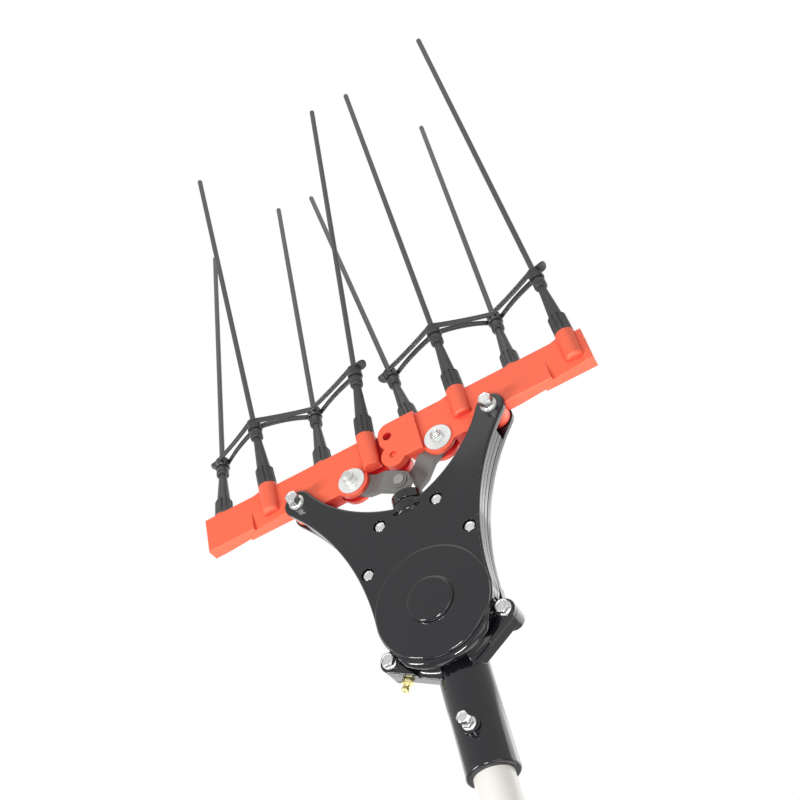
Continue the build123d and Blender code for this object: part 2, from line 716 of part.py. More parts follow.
def tine():
    """Carbon rod with a rounded tip, on its own axis."""
    rod = upright(tine_radius, tine_start, tine_end)
    return fillet(rod.edges().sort_by(Axis.Z)[-1], 1.8)


def strap_strand(start, end, side, bow):
    """Flat strand of the strap between two eyelets, bowed towards its fellow on the other side."""
    run = end - start
    along = run.normalized()
    upwards = (Vector(0, 0, 1) - along * along.Z).normalized()
    length = run.length
    outer = side * strand_radius
    inner = side * (strand_radius - strand_thickness)
    sag = side * bow
    strand = make_face(
        [
            ThreePointArc((0, outer), (length / 2, outer - sag), (length, outer)),
            Line((length, outer), (length, inner)),
            ThreePointArc((length, inner), (length / 2, inner - sag), (0, inner)),
            Line((0, inner), (0, outer)),
        ]
    )
    middle = Plane(origin=start, x_dir=along, z_dir=upwards)
    return extrude(middle * strand, amount=strand_height / 2, both=True)


def strap_tongue(frame, outwards):
    """Finger tab on the top edge of an end eyelet."""
    top = frame.origin + frame.z_dir * (strap_height + eyelet_height / 2)
    across = (outwards - frame.z_dir * outwards.dot(frame.z_dir)).normalized()
    tab = Pos(6.25, 0) * RectangleRounded(12.5, 10, 4.5)
    return extrude(Plane(origin=top, x_dir=across, z_dir=frame.z_dir) * tab, amount=-2)


def tie_strap(front_sag, rear_sag):
    """Rubber strap: an eyelet on each holder, two strands between neighbours and a tab at each end."""
    frames = [tine_frame(place) for place in tine_places]
    half = eyelet_height / 2
    low = strap_height - half
    high = strap_height + half
    # The strands' top edges lie level with the eyelets' tops.
    ends = [frame.origin + frame.z_dir * (high - strand_height / 2) for frame in frames]
    strap = frames[0] * upright(eyelet_radius, low, high)
    for frame in frames[1:]:
        strap += frame * upright(eyelet_radius, low, high)
    for start, end in zip(ends, ends[1:]):
        strap += [strap_strand(start, end, -1, front_sag), strap_strand(start, end, 1, rear_sag)]
    strap += strap_tongue(frames[0], ends[0] - ends[1])
    strap += strap_tongue(frames[-1], ends[-1] - ends[-2])
    for frame in frames:
        strap -= frame * upright(strap_seat_radius + press, low - 1, high + 1)
    return strap


def link_bolt():
    """Hexagon bolt through the clevis, over a spring washer and a wide washer."""
    x = -link_bolt_x
    seat = comb_front - washer - spring_washer
    bolt = hex_y(x, link_bolt_z, hex_flat, seat - link_head, seat)
    return bolt + rod_y(x, link_bolt_z, bolt_radius, seat, comb_back + 8.6)


def link_washers():
    """Wide washers on both cheeks of the clevis and the spring washer under the bolt's head."""
    x = -link_bolt_x
    hole = bolt_radius + press
    seat = comb_front - washer
    wide = ring_y(x, link_bolt_z, hole, fender_radius, seat, comb_front)
    rear = ring_y(x, link_bolt_z, hole, fender_radius, comb_back, comb_back + washer)
    spring = ring_y(x, link_bolt_z, hole, 5.2, seat - spring_washer, seat)
    spring -= block(x - 0.6, x + 0.6, seat - spring_washer, seat, link_bolt_z, link_bolt_z + 8)
    return Compound([wide, rear, spring])


def half_turn(shape):
    """The right comb's pieces: the left comb's, turned half round about the upright line between them."""
    return Pos(0, comb_y, 0) * Rot(0, 0, 180) * Pos(0, -comb_y, 0) * shape


def lock_bolt():
    """Bolt that locks the pole in its socket."""
    seat = lock_pad_front - lock_stand
    head = hex_y(0, lock_bolt_z, screw_hex_flat, seat - lock_head, seat)
    return head + rod_y(0, lock_bolt_z, screw_radius, seat, -pole_radius + 1)


def lock_bolt_nut():
    """Flanged nut on the lock bolt's pad."""
    top = lock_pad_front - lock_nut_height
    nut = hex_y(0, lock_bolt_z, screw_hex_flat, top, lock_pad_front)
    nut += rod_y(0, lock_bolt_z, 5.4, lock_pad_front - 1.4, lock_pad_front)
    return nut - rod_y(0, lock_bolt_z, screw_radius + press, top, lock_pad_front)


def pole_tube():
    """Pole end, turned down where it sits in the socket, with the hole that the lock bolt enters."""
    tube = ring_z(0, 0, pole_radius - pole_wall, pole_radius, 0, socket_end)
    seat_top = socket_end + socket_depth - 0.5
    tube += ring_z(0, 0, pole_radius - pole_wall, pole_seat_radius, socket_end, seat_top)
    return tube - rod_y(0, lock_bolt_z, screw_radius + 0.2, -pole_radius - 1, -pole_radius + 3)


pivots = both_sides(flange_bolt(pivot_x, pivot_z, front_y - washer, 2.0, pivot_head))
pivot_washer = ring_y(pivot_x, pivot_z, bolt_radius + press, flange_radius + 0.5, front_y - washer, front_y)
lug_places = both_sides(flange_bolt(lug_x, lug_z, ear_front, lug_back - 3.5, lug_head))
parts = {
    "rear_body": rear_body(),
    "front_cover": front_cover(),
    "body_gasket": body_gasket(),
    "cover_screws": cover_screws(),
    "lug_bolts": Compound(lug_places),
    "pivot_bolts": Compound(pivots),
    "pivot_washers": Compound(both_sides(pivot_washer)),
    "pivot_nuts": Compound(both_sides(lock_nut(pivot_x, pivot_z, back_y))),
    "pivot_sleeves": Compound(
        both_sides(ring_y(pivot_x, pivot_z, bolt_radius + press, pivot_sleeve_radius, fork_front, fork_back))
    ),
    "rod_gland": rod_gland(),
    "gland_seal": gland_seal(),
    "rod_bush": ring_z(0, comb_y, rod_radius + running, bush_radius, guide_low, guide_high),
    "grease_nipple": grease_nipple(),
    "pole_tube": pole_tube(),
    "shaft_bush": ring_z(0, 0, shaft_radius + running, pole_radius - pole_wall - press, 30, 48),
    "pole_lock_bolt": lock_bolt(),
    "pole_lock_nut": lock_bolt_nut(),
    "pinion_bearing_lower": bearing_z(
        pinion_shank_radius, pinion_bearing_radius, bearing_low, bearing_width
    ),
    "pinion_spacer": ring_z(
        0, 0, 10.5, pinion_bearing_radius, bearing_low + bearing_width, bearing_high - bearing_width
    ),
    "pinion_bearing_upper": bearing_z(
        pinion_shank_radius, pinion_bearing_radius, bearing_high - bearing_width, bearing_width
    ),
    "pinion_circlip": circlip_z(4.3, socket_end + 63.7, socket_end + 64.7),
    "axle_bearing_front": bearing_y(axle_radius, axle_bearing_radius, -5.0, bearing_width),
    "axle_bearing_rear": bearing_y(axle_radius, axle_bearing_radius, 3.5, bearing_width),
    "drive_pinion": drive_pinion(),
    "drive_shaft": drive_shaft(),
    "crank_wheel": crank_wheel(),
    "crank_axle": crank_axle(),
    "axle_circlip": circlip_y(0, gear_z, 5.4, 11.7, 12.5),
    "push_rod": push_rod(),
    "scotch_yoke": scotch_yoke(),
    "crank_pin": rod_y(0, gear_z - throw, crank_pin_radius, comb_y - yoke_half_depth, wheel_front - 0.3),
    "crank_roller": ring_y(
        0, gear_z - throw, crank_pin_radius + running, roller_radius,
        comb_y - yoke_half_depth + 0.5, comb_y + yoke_half_depth,
    ),
    "link_pin": link_pin(),
    "link_pin_washers": link_pin_washers(),
    "link_pin_circlip": circlip_y(0, rod_pin_z, 3.4, link_pin_back() - 1.65, link_pin_back() - 0.65),
    "link_left": link(-1),
    "link_right": link(1),
}
comb_parts = {
    "comb": comb_solid(),
    "pivot_bush": ring_y(
        -pivot_x, pivot_z, pivot_sleeve_radius + running, pivot_bush_radius, comb_front, comb_back
    ),
    "link_bolt": link_bolt(),
    "link_washers": link_washers(),
    "link_nut": lock_nut(-link_bolt_x, link_bolt_z, comb_back + washer),
    "tine_holders": Compound([tine_frame(place) * tine_holder() for place in tine_places]),
    "tines": Compound([tine_frame(place) * tine() for place in tine_places]),
}
for name, shape in comb_parts.items():
    parts[name + "_left"] = shape
    parts[name + "_right"] = half_turn(shape)
parts["tie_strap_left"] = tie_strap(front_bow, rear_bow)
parts["tie_strap_right"] = half_turn(tie_strap(rear_bow, front_bow))

os.makedirs("parts", exist_ok=True)
for name, shape in parts.items():
    export_step(shape, f"parts/{name}.step")
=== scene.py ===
"""Finishes, small pieces and stage for the head of a pole-mounted olive harvester.

Metres, in the frame of the loaded model: +Z runs up the pole to the tines, +X is to the right and the
front of the head faces -Y. Lengths written in the mesh code are millimetres and are scaled once.
"""
import json
import math

import bmesh
import bpy
from bpy.props import FloatProperty, FloatVectorProperty, IntProperty, PointerProperty
from mathutils import Matrix, Vector


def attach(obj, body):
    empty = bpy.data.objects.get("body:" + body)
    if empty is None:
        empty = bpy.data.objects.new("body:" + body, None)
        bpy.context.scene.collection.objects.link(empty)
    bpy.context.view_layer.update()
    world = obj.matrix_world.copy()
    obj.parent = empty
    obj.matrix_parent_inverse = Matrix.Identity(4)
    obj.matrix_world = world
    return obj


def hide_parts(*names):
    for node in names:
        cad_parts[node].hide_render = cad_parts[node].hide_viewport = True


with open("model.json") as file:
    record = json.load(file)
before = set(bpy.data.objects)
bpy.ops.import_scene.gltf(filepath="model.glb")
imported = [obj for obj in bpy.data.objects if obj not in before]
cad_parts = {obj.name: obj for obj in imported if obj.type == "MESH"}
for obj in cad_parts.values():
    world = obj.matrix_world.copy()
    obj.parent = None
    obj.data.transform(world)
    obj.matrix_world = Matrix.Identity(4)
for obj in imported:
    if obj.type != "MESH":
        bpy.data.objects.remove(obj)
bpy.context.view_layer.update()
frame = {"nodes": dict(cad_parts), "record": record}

bl_info = {
    "name": "Olive harvester head",
    "version": (1, 0, 0),
    "blender": (4, 5, 0),
    "location": "3D View > Sidebar > Harvester",
    "description": "Finishes, fasteners, straps and stage for a pole-mounted olive harvester head",
    "category": "Object",
}

MM = 0.001
SIDES = (("left", -1), ("right", 1))

# Places and sizes of the loaded model, in millimetres
FRONT_Y = -31.0
BACK_Y = -6.5
COMB_Y = -18.75
EAR_FRONT = -19.5
PARTING_Y = -14.5
STEP_Y = -20.4
FORK_FRONT = -25.75
FORK_BACK = -11.75
FORK_REACH = 22.6
ARM_TIP_RADIUS = 12.5
CASE_RADIUS = 48.0
GEAR_Z = 231.0
PIVOT_X = 91.0
PIVOT_Z = 380.0
LUG_X = 47.3
LUG_Z = 206.0
LUG_RADIUS = 8.5
SOCKET_RADIUS = 20.0
GUSSET_Z = 180.0
RIB_TIP_X = 29.0
NIPPLE_Y = -9.0
NIPPLE_SHARE = 0.65
LINK_BOLT_X = 41.0
LINK_BOLT_Z = 378.5
LOCK_Z = 131.0
LOCK_PAD_FRONT = -23.6
SCREW_PLACES = ((25.5, 317.4), (44.6, 279.0))
BOSS_TOP = 419.0
TINE_OFFSET = 5.0

# Tines of the left comb: place along the comb, side of its middle, lean along the comb, lean to that side
TINE_PLACES = ((-169.6, 1, 1.0, 7.0), (-118.2, -1, 0.0, 4.8), (-67.2, 1, 0.0, 5.0), (-20.3, -1, 6.6, 5.8))

# Bolts and screws: half the width across flats, shank's radius and thread's pitch
M6_FLAT = 5.0
M6_RADIUS = 3.0
M6_PITCH = 1.0
M5_FLAT = 4.0
M5_RADIUS = 2.5
M5_PITCH = 0.8
FLANGE_RADIUS = 6.4
HALF_TURN = Matrix.Rotation(math.pi, 4, "X")

# Raised disc and boss, with heights in front of the cover's face
DISC_RADIUS = 47.0
DISC_FACE = 2.3
DISC_EDGE = 2.2
DISC_SUNK = -1.5
BOSS_RADIUS = 19.1
BOSS_EDGE = 2.7
BOSS_FOOT = 0.8

# Rolled rim of the gear case: its start under the horizontal in degrees, the share of its length in which it
# fades at each end, and its section's middle and radius where it is full and where it has sunk into the plate
RIM_START = 35.0
RIM_FADE = 0.15
RIM_INNER = 44.5
RIM_CENTRE = (47.3, -4.6)
RIM_SIZE = 4.5
RIM_SUNK = (45.9, -2.1)
RIM_SUNK_SIZE = 1.9

# Cast fillets beside the gear case: radius of the case's wall, depths from front to back, angles in degrees
FILLET_WALL = 47.2
FILLET_TOP = -23.6
FILLET_FLOOR = -16.0
FILLET_BACK = -14.3
FILLET_SUNK = 0.8
FILLET_START = -36.5
FILLET_TURN = 40.5

# Shares of the rear bow in the three spans of a strap
REAR_BOW_SHARES = (0.6, 0.9, 0.6)


def colour_property(name, description, default):
    """Colour that a user may change."""
    return FloatVectorProperty(
        name=name, description=description, default=default, subtype="COLOR", size=3, min=0.0, max=1.0
    )


class HarvesterColours(bpy.types.PropertyGroup):
    """Colours of the finishes."""

    comb: colour_property("Comb", "Moulded combs", (0.95, 0.142, 0.066))
    # Painted shade: the colour mixed into the combs' corners and gaps where shade falls
    comb_painted_shade: colour_property("Comb painted shade", "Corners and gaps of the moulded combs", (0.62, 0.012, 0.016))
    paint: colour_property("Paint", "Painted castings", (0.006, 0.006, 0.0085))
    pole: colour_property("Pole", "Coated pole", (0.76, 0.73, 0.69))
    rubber: colour_property("Rubber", "Tine holders and straps", (0.030, 0.028, 0.028))
    carbon: colour_property("Carbon", "Tine rods", (0.060, 0.062, 0.060))
    zinc: colour_property("Zinc", "Plated bolts, nuts and washers", (0.60, 0.61, 0.60))
    link: colour_property("Link", "Stamped links", (0.19, 0.185, 0.175))
    brass: colour_property("Brass", "Grease nipple", (0.66, 0.60, 0.29))
    floor: colour_property("Floor", "Studio floor", (0.92, 0.92, 0.92))


def length_property(name, description, default):
    """Length that a user may change; the default is written in millimetres."""
    return FloatProperty(name=name, description=description, default=default * MM, min=0.0, unit="LENGTH")


class HarvesterSizes(bpy.types.PropertyGroup):
    """Sizes of the rubber pieces."""

    flutes: IntProperty(
        name="Flutes", description="Flutes round a holder's collar", default=10, min=3, max=30
    )
    strap_height: length_property("Strap height", "Eyelet's middle over the holder's foot", 70.0)
    eyelet_radius: length_property("Eyelet radius", "Outer radius of a strap's eyelet", 6.5)
    eyelet_height: length_property("Eyelet height", "Height of a strap's eyelet", 10.0)
    strand_height: length_property("Strand height", "Height of a strap's strand", 5.8)
    strand_radius: length_property("Strand radius", "Strand's distance from the eyelet's axis", 5.3)
    front_bow: length_property("Front bow", "Bow of the strands in front towards the rear ones", 1.0)
    rear_bow: length_property("Rear bow", "Bow of the strands behind towards the front ones", 4.2)


def power_property(name, description, default):
    """Lamp's power that a user may change."""
    return FloatProperty(name=name, description=description, default=default, unit="POWER")


class HarvesterStage(bpy.types.PropertyGroup):
    """Camera, lamps and floor."""

    lens: FloatProperty(
        name="Lens", description="Camera's focal length", default=54.4, min=10.0, unit="CAMERA"
    )
    surround: FloatProperty(
        name="Surround", description="Light that the white surroundings give", default=0.10, min=0.0
    )
    front: power_property("Front lamps", "Power of each strip lamp; the wide one has a share of it", 10.0)
    back: power_property("Back lamps", "Power of the right lamp behind; the others have a share of it", 17.0)
    top: power_property("Top lamp", "Power of the lamp above", 5.0)
    low: power_property("Low lamp", "Power of the wide lamp below", 26.0)
    floor_drop: FloatProperty(
        name="Floor drop", description="Floor's depth under the pole's end", default=1.5, unit="LENGTH"
    )
    floor_glow: FloatProperty(
        name="Floor glow", description="Light that the floor gives where it is seen", default=0.55, min=0.0
    )


def new_group(name, inputs, outputs):
    """Empty shader group with named sockets; returns the group, its input node and its output node."""
    group = bpy.data.node_groups.new(name, "ShaderNodeTree")
    for label, kind, default in inputs:
        socket = group.interface.new_socket(label, in_out="INPUT", socket_type=kind)
        socket.default_value = default
    for label, kind in outputs:
        group.interface.new_socket(label, in_out="OUTPUT", socket_type=kind)
    return group, group.nodes.new("NodeGroupInput"), group.nodes.new("NodeGroupOutput")


def node(tree, kind, values=None, **settings):
    """New shader node with its settings and its unlinked values."""
    made = tree.nodes.new(kind)
    for name, value in settings.items():
        setattr(made, name, value)
    for socket, value in (values or {}).items():
        made.inputs[socket].default_value = value
    return made


def vary_roughness(group, given, out, mask):
    """Let a mask change the roughness about its middle; returns the mask less a half."""
    centred = node(group, "ShaderNodeMath", {1: 0.5}, operation="SUBTRACT")
    gloss = node(group, "ShaderNodeMath", operation="MULTIPLY")
    rough = node(group, "ShaderNodeMath", operation="ADD", use_clamp=True)
    links = group.links.new
    links(mask, centred.inputs[0])
    links(centred.outputs[0], gloss.inputs[0])
    links(given.outputs["Roughness Spread"], gloss.inputs[1])
    links(gloss.outputs[0], rough.inputs[0])
    links(given.outputs["Roughness"], rough.inputs[1])
    links(rough.outputs[0], out.inputs["Roughness"])
    return centred.outputs[0]


def mottle_group():
    """Slow changes of colour and gloss, and a fine grain, over a moulded or painted surface."""
    group, given, out = new_group(
        "Mottled surface",
        [
            ("Colour", "NodeSocketColor", (0.5, 0.5, 0.5, 1.0)),
            ("Colour Spread", "NodeSocketFloat", 0.1),
            ("Patch Scale", "NodeSocketFloat", 40.0),
            ("Roughness", "NodeSocketFloat", 0.4),
            ("Roughness Spread", "NodeSocketFloat", 0.1),
            ("Grain Scale", "NodeSocketFloat", 1500.0),
        ],
        [("Colour", "NodeSocketColor"), ("Roughness", "NodeSocketFloat"), ("Grain", "NodeSocketFloat")],
    )
    place = node(group, "ShaderNodeTexCoord")
    patch = node(group, "ShaderNodeTexNoise", {"Detail": 4.0, "Roughness": 0.6})
    grain = node(group, "ShaderNodeTexNoise", {"Detail": 2.0})
    centred = vary_roughness(group, given, out, patch.outputs["Fac"])
    shade = node(group, "ShaderNodeMath", operation="MULTIPLY")
    level = node(group, "ShaderNodeMath", {1: 1.0}, operation="ADD")
    tint = node(group, "ShaderNodeVectorMath", operation="SCALE")
    links = group.links.new
    links(place.outputs["Object"], patch.inputs["Vector"])
    links(place.outputs["Object"], grain.inputs["Vector"])
    links(given.outputs["Patch Scale"], patch.inputs["Scale"])
    links(given.outputs["Grain Scale"], grain.inputs["Scale"])
    links(centred, shade.inputs[0])
    links(given.outputs["Colour Spread"], shade.inputs[1])
    links(shade.outputs[0], level.inputs[0])
    links(given.outputs["Colour"], tint.inputs[0])
    links(level.outputs[0], tint.inputs["Scale"])
    links(tint.outputs[0], out.inputs["Colour"])
    links(grain.outputs["Fac"], out.inputs["Grain"])
    return group


def brush_group():
    """Fine drawn or turned scratches that run one way over bare metal."""
    group, given, out = new_group(
        "Brushed metal",
        [
            ("Colour", "NodeSocketColor", (0.7, 0.7, 0.7, 1.0)),
            ("Stretch", "NodeSocketVector", (1.0, 1.0, 1.0)),
            ("Roughness", "NodeSocketFloat", 0.3),
            ("Roughness Spread", "NodeSocketFloat", 0.2),
        ],
        [("Colour", "NodeSocketColor"), ("Roughness", "NodeSocketFloat"), ("Scratches", "NodeSocketFloat")],
    )
    place = node(group, "ShaderNodeTexCoord")
    stretched = node(group, "ShaderNodeVectorMath", operation="MULTIPLY")
    fine = node(group, "ShaderNodeTexNoise", {"Scale": 900.0, "Detail": 4.0, "Roughness": 0.7})
    cloudy = node(group, "ShaderNodeTexNoise", {"Scale": 90.0, "Detail": 3.0})
    level = node(group, "ShaderNodeMapRange", {"To Min": 0.86, "To Max": 1.06})
    tint = node(group, "ShaderNodeVectorMath", operation="SCALE")
    links = group.links.new
    links(place.outputs["Object"], stretched.inputs[0])
    links(given.outputs["Stretch"], stretched.inputs[1])
    links(stretched.outputs[0], fine.inputs["Vector"])
    links(place.outputs["Object"], cloudy.inputs["Vector"])
    vary_roughness(group, given, out, fine.outputs["Fac"])
    links(cloudy.outputs["Fac"], level.inputs["Value"])
    links(given.outputs["Colour"], tint.inputs[0])
    links(level.outputs["Result"], tint.inputs["Scale"])
    links(tint.outputs[0], out.inputs["Colour"])
    links(fine.outputs["Fac"], out.inputs["Scratches"])
    return group


def new_material(name):
    """Empty material that takes the place of the plain one that the model was loaded with."""
    plain = bpy.data.materials.get(name)
    if plain:
        bpy.data.materials.remove(plain)
    material = bpy.data.materials.new(name)
    material.use_nodes = True
    return material


def relief(tree, shader, height, bump, depth, edge):
    """Fine relief from a height, over edges softened by a radius in millimetres where one is given."""
    links = tree.links.new
    raised = node(tree, "ShaderNodeBump", {"Strength": bump, "Distance": depth * MM})
    links(height, raised.inputs["Height"])
    if edge:
        rounded = node(tree, "ShaderNodeBevel", {"Radius": edge * MM}, samples=8)
        links(rounded.outputs["Normal"], raised.inputs["Normal"])
    links(raised.outputs["Normal"], shader.inputs["Normal"])


def surfaced(name, group, values, height, bump, depth, edge):
    """Material with the colour, roughness and relief that a shader group gives; returns its shader."""
    tree = new_material(name).node_tree
    shader = tree.nodes["Principled BSDF"]
    surface = node(tree, "ShaderNodeGroup", values, node_tree=group)
    links = tree.links.new
    links(surface.outputs["Colour"], shader.inputs["Base Color"])
    links(surface.outputs["Roughness"], shader.inputs["Roughness"])
    relief(tree, shader, surface.outputs[height], bump, depth, edge)
    return shader


def moulded(name, groups, colour, spread, patch, roughness, rough_spread, grain, bump, edge):
    """Paint, plastic or rubber: mottled colour and gloss, fine grain and softened edges."""
    grain_depth = 0.2
    values = {
        "Colour": (*colour, 1.0),
        "Colour Spread": spread,
        "Patch Scale": patch,
        "Roughness": roughness,
        "Roughness Spread": rough_spread,
        "Grain Scale": grain,
    }
    surfaced(name, groups["mottle"], values, "Grain", bump, grain_depth, edge)


def paint_gap_shade(name, shade_colour, reach, closed, open_share):
    """Painted shade: a darker colour mixed in by an ambient occlusion mask in the corners and gaps of a
    moulding, between two shares of open sky over a point.
    """
    tree = bpy.data.materials[name].node_tree
    colour = tree.nodes["Principled BSDF"].inputs["Base Color"]
    plain = colour.links[0].from_socket
    # Painted shade: the ambient occlusion mask darkens the colour in corners and gaps
    gap_shade = node(tree, "ShaderNodeAmbientOcclusion", {"Distance": reach * MM}, samples=8)
    share = node(tree, "ShaderNodeMapRange", {"From Min": closed, "From Max": open_share})
    # The mix node's sockets for colours, by number because its other kinds have the same names
    factor, shade_side, open_side, result = 0, 6, 7, 2
    blend = node(tree, "ShaderNodeMix", {shade_side: (*shade_colour, 1.0)}, data_type="RGBA")
    links = tree.links.new
    links(gap_shade.outputs["AO"], share.inputs["Value"])
    links(share.outputs["Result"], blend.inputs[factor])
    links(plain, blend.inputs[open_side])
    links(blend.outputs[result], colour)


def drawn(name, groups, colour, stretch, roughness, rough_spread, bump, edge, metallic=1.0):
    """Metal or drawn rod with fine scratches and softened edges."""
    scratch_depth = 0.1
    values = {
        "Colour": (*colour, 1.0),
        "Stretch": stretch,
        "Roughness": roughness,
        "Roughness Spread": rough_spread,
    }
    shader = surfaced(name, groups["brush"], values, "Scratches", bump, scratch_depth, edge)
    shader.inputs["Metallic"].default_value = metallic


def join_rows(shape, rows, closed=False):
    """Faces between neighbouring rows of points; a row of one point is a tip."""
    following = rows[1:] + rows[:1] if closed else rows[1:]
    for low, high in zip(rows, following):
        count = max(len(low), len(high))
        for here in range(count):
            there = (here + 1) % count
            if len(low) == 1:
                shape.faces.new((low[0], high[there], high[here]))
            elif len(high) == 1:
                shape.faces.new((low[here], low[there], high[0]))
            else:
                shape.faces.new((low[here], low[there], high[there], high[here]))


def loft(shape, sections):
    """Closed skin through sections of points, with a face over each end."""
    rows = [[shape.verts.new(point) for point in section] for section in sections]
    join_rows(shape, rows)
    for row in (rows[0], rows[-1]):
        shape.faces.new(row)


def round_point(place, away, angle, height):
    """Point at a distance from a local axis, at an angle and a height."""
    return place @ Vector((away * math.cos(angle), away * math.sin(angle), height))


def turned(shape, place, profile, count=48, closed=False, reach=None):
    """Turned surface about a local axis. A profile point is a radius and a height; reach may change the
    radius round the axis."""
    rows = []
    for radius, height in profile:
        if radius == 0:
            rows.append([shape.verts.new(place @ Vector((0, 0, height)))])
            continue
        row = []
        for step in range(count):
            angle = 2 * math.pi * step / count
            away = reach(radius, height, angle) if reach else radius
            row.append(shape.verts.new(round_point(place, away, angle, height)))
        rows.append(row)
    join_rows(shape, rows, closed)


def hexagon_reach(flat):
    """Distance to a hexagon's side, round its axis."""
    sixth = math.pi / 3
    return lambda angle: flat / math.cos((angle + sixth / 2) % sixth - sixth / 2)


def hexagon_head(shape, place, flat, low, high, dish, hole=0.0):
    """Hexagon with chamfered corners on its top edge; a nut has them below too, and a hole through it."""
    side = hexagon_reach(flat)
    round_edge = 0.92 * flat
    ledge_edge = 0.78 * flat
    dish_edge = 0.70 * flat
    mouth = 0.4
    slope = math.tan(math.radians(30))
    count = 72
    angles = [2 * math.pi * step / count for step in range(count)]

    def row(radius_of, height_of):
        points = []
        for angle in angles:
            radius = radius_of(angle)
            points.append(shape.verts.new(round_point(place, radius, angle, height_of(radius))))
        return points

    def cap(height, direction):
        outer = row(side, lambda radius: height - direction * (radius - round_edge) * slope)
        rim = row(lambda angle: round_edge, lambda radius: height)
        return outer, rim

    top_outer, top_rim = cap(high, 1)
    if hole:
        low_outer, low_rim = cap(low, -1)
        bore_top = row(lambda angle: hole, lambda radius: high - mouth)
        mouth_top = row(lambda angle: hole + mouth, lambda radius: high)
        bore_low = row(lambda angle: hole, lambda radius: low + mouth)
        mouth_low = row(lambda angle: hole + mouth, lambda radius: low)
        rows = [mouth_low, low_rim, low_outer, top_outer, top_rim, mouth_top, bore_top, bore_low]
        join_rows(shape, rows, closed=True)
        return
    foot = row(side, lambda radius: low)
    ledge = row(lambda angle: ledge_edge, lambda radius: high)
    floor = row(lambda angle: dish_edge, lambda radius: high - dish)
    base = [shape.verts.new(place @ Vector((0, 0, low)))]
    middle = [shape.verts.new(place @ Vector((0, 0, high - dish)))]
    join_rows(shape, [base, foot, top_outer, top_rim, ledge, floor, middle])


def threaded(shape, place, radius, pitch, low, high):
    """Screw thread on a local axis, with a chamfer at its low end."""
    count = 28
    steps_a_turn = 6
    depth = 0.54 * pitch
    chamfer = 0.9
    steps = max(2, int(round((high - low) / pitch * steps_a_turn)))
    rows = [[shape.verts.new(place @ Vector((0, 0, low)))]]
    for step in range(steps + 1):
        height = low + (high - low) * step / steps
        most = radius - max(0.0, chamfer - (height - low))
        row = []
        for number in range(count):
            angle = 2 * math.pi * number / count
            phase = (height / pitch - number / count) % 1.0
            away = min(radius - depth * abs(2 * phase - 1), most)
            row.append(shape.verts.new(round_point(place, away, angle, height)))
        rows.append(row)
    rows.append([shape.verts.new(place @ Vector((0, 0, high)))])
    join_rows(shape, rows)


def plain_shank(shape, place, radius, length, sunk=0.1):
    """Plain round shank below a head, reaching a little into it."""
    turned(shape, place, [(0, -length), (radius, -length), (radius, sunk), (0, sunk)])


def along_depth(x, y, z, turn):
    """Place whose axis runs to the front, turned round it by degrees."""
    to_front = Matrix.Rotation(math.radians(90), 4, "X")
    return Matrix.Translation((x, y, z)) @ to_front @ Matrix.Rotation(math.radians(turn), 4, "Z")


def piece(name, shape, body, slot, *nodes):
    """Finish a mesh drawn in millimetres as a piece that rides on a body and stands for the nodes given."""
    sharp_angle = math.radians(38)
    bmesh.ops.recalc_face_normals(shape, faces=shape.faces)
    mesh = bpy.data.meshes.new(name)
    shape.to_mesh(mesh)
    shape.free()
    mesh.transform(Matrix.Scale(MM, 4))
    mesh.shade_smooth()
    mesh.set_sharp_from_angle(angle=sharp_angle)
    made = bpy.data.objects.new(name, mesh)
    bpy.context.scene.collection.objects.link(made)
    mesh.materials.append(bpy.data.materials[slot])
    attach(made, body)
    if nodes:
        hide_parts(*nodes)


def flange_bolt(shape, place, head, shank):
    """Hexagon flange bolt: sloping flange, dished head and plain shank."""
    edge = FLANGE_RADIUS
    head_foot = 1.6
    dish = 0.35
    profile = [(0, -shank), (M6_RADIUS, -shank), (M6_RADIUS, 0.0), (edge - 0.3, 0.0), (edge, 0.3)]
    profile += [(edge, 0.9), (edge - 0.4, 1.3), (M6_FLAT + 0.2, 2.0), (M6_FLAT - 0.6, 2.1), (0, 2.1)]
    turned(shape, place, profile, count=72)
    hexagon_head(shape, place, M6_FLAT, head_foot, head, dish)


def lock_nut(shape, place):
    """Self-locking nut whose front face sits at the place: hexagon, then a rounded collar behind it."""
    behind = place @ HALF_TURN
    bore = 3.02
    height = 4.3
    hexagon_head(shape, behind, M6_FLAT, 0.0, height, 0.0, hole=bore)
    collar = [(bore, 3.9), (4.7, 3.9), (4.7, 4.6), (4.5, 5.4), (4.0, 5.9), (3.4, 6.0), (bore, 5.7)]
    turned(shape, behind, collar, closed=True)


def pivot_bolts():
    """Bolts through the forked arms, on washers, with their nuts behind."""
    washer = 1.6
    head = 9.4
    shank = 24.0
    thread_low = -2.0
    thread_high = 8.4
    nut_turn = 11
    bolts = bmesh.new()
    nuts = bmesh.new()
    for side, turn in ((-1, 17), (1, 41)):
        x = side * PIVOT_X
        flange_bolt(bolts, along_depth(x, FRONT_Y - washer, PIVOT_Z, turn), head, shank)
        threaded(bolts, along_depth(x, 0, PIVOT_Z, 0), M6_RADIUS, M6_PITCH, thread_low, thread_high)
        lock_nut(nuts, along_depth(x, BACK_Y, PIVOT_Z, turn + nut_turn))
    piece("pivot_bolt_pair", bolts, "housing", "zinc_steel", "pivot_bolts")
    piece("pivot_nut_pair", nuts, "housing", "zinc_steel", "pivot_nuts")


def lug_bolts():
    """Bolts in the two lugs beside the gear case."""
    head = 5.8
    shank = 16.0
    bolts = bmesh.new()
    for side, turn in ((-1, 24), (1, 4)):
        flange_bolt(bolts, along_depth(side * LUG_X, EAR_FRONT, LUG_Z, turn), head, shank)
    piece("lug_bolt_pair", bolts, "housing", "zinc_steel", "lug_bolts")


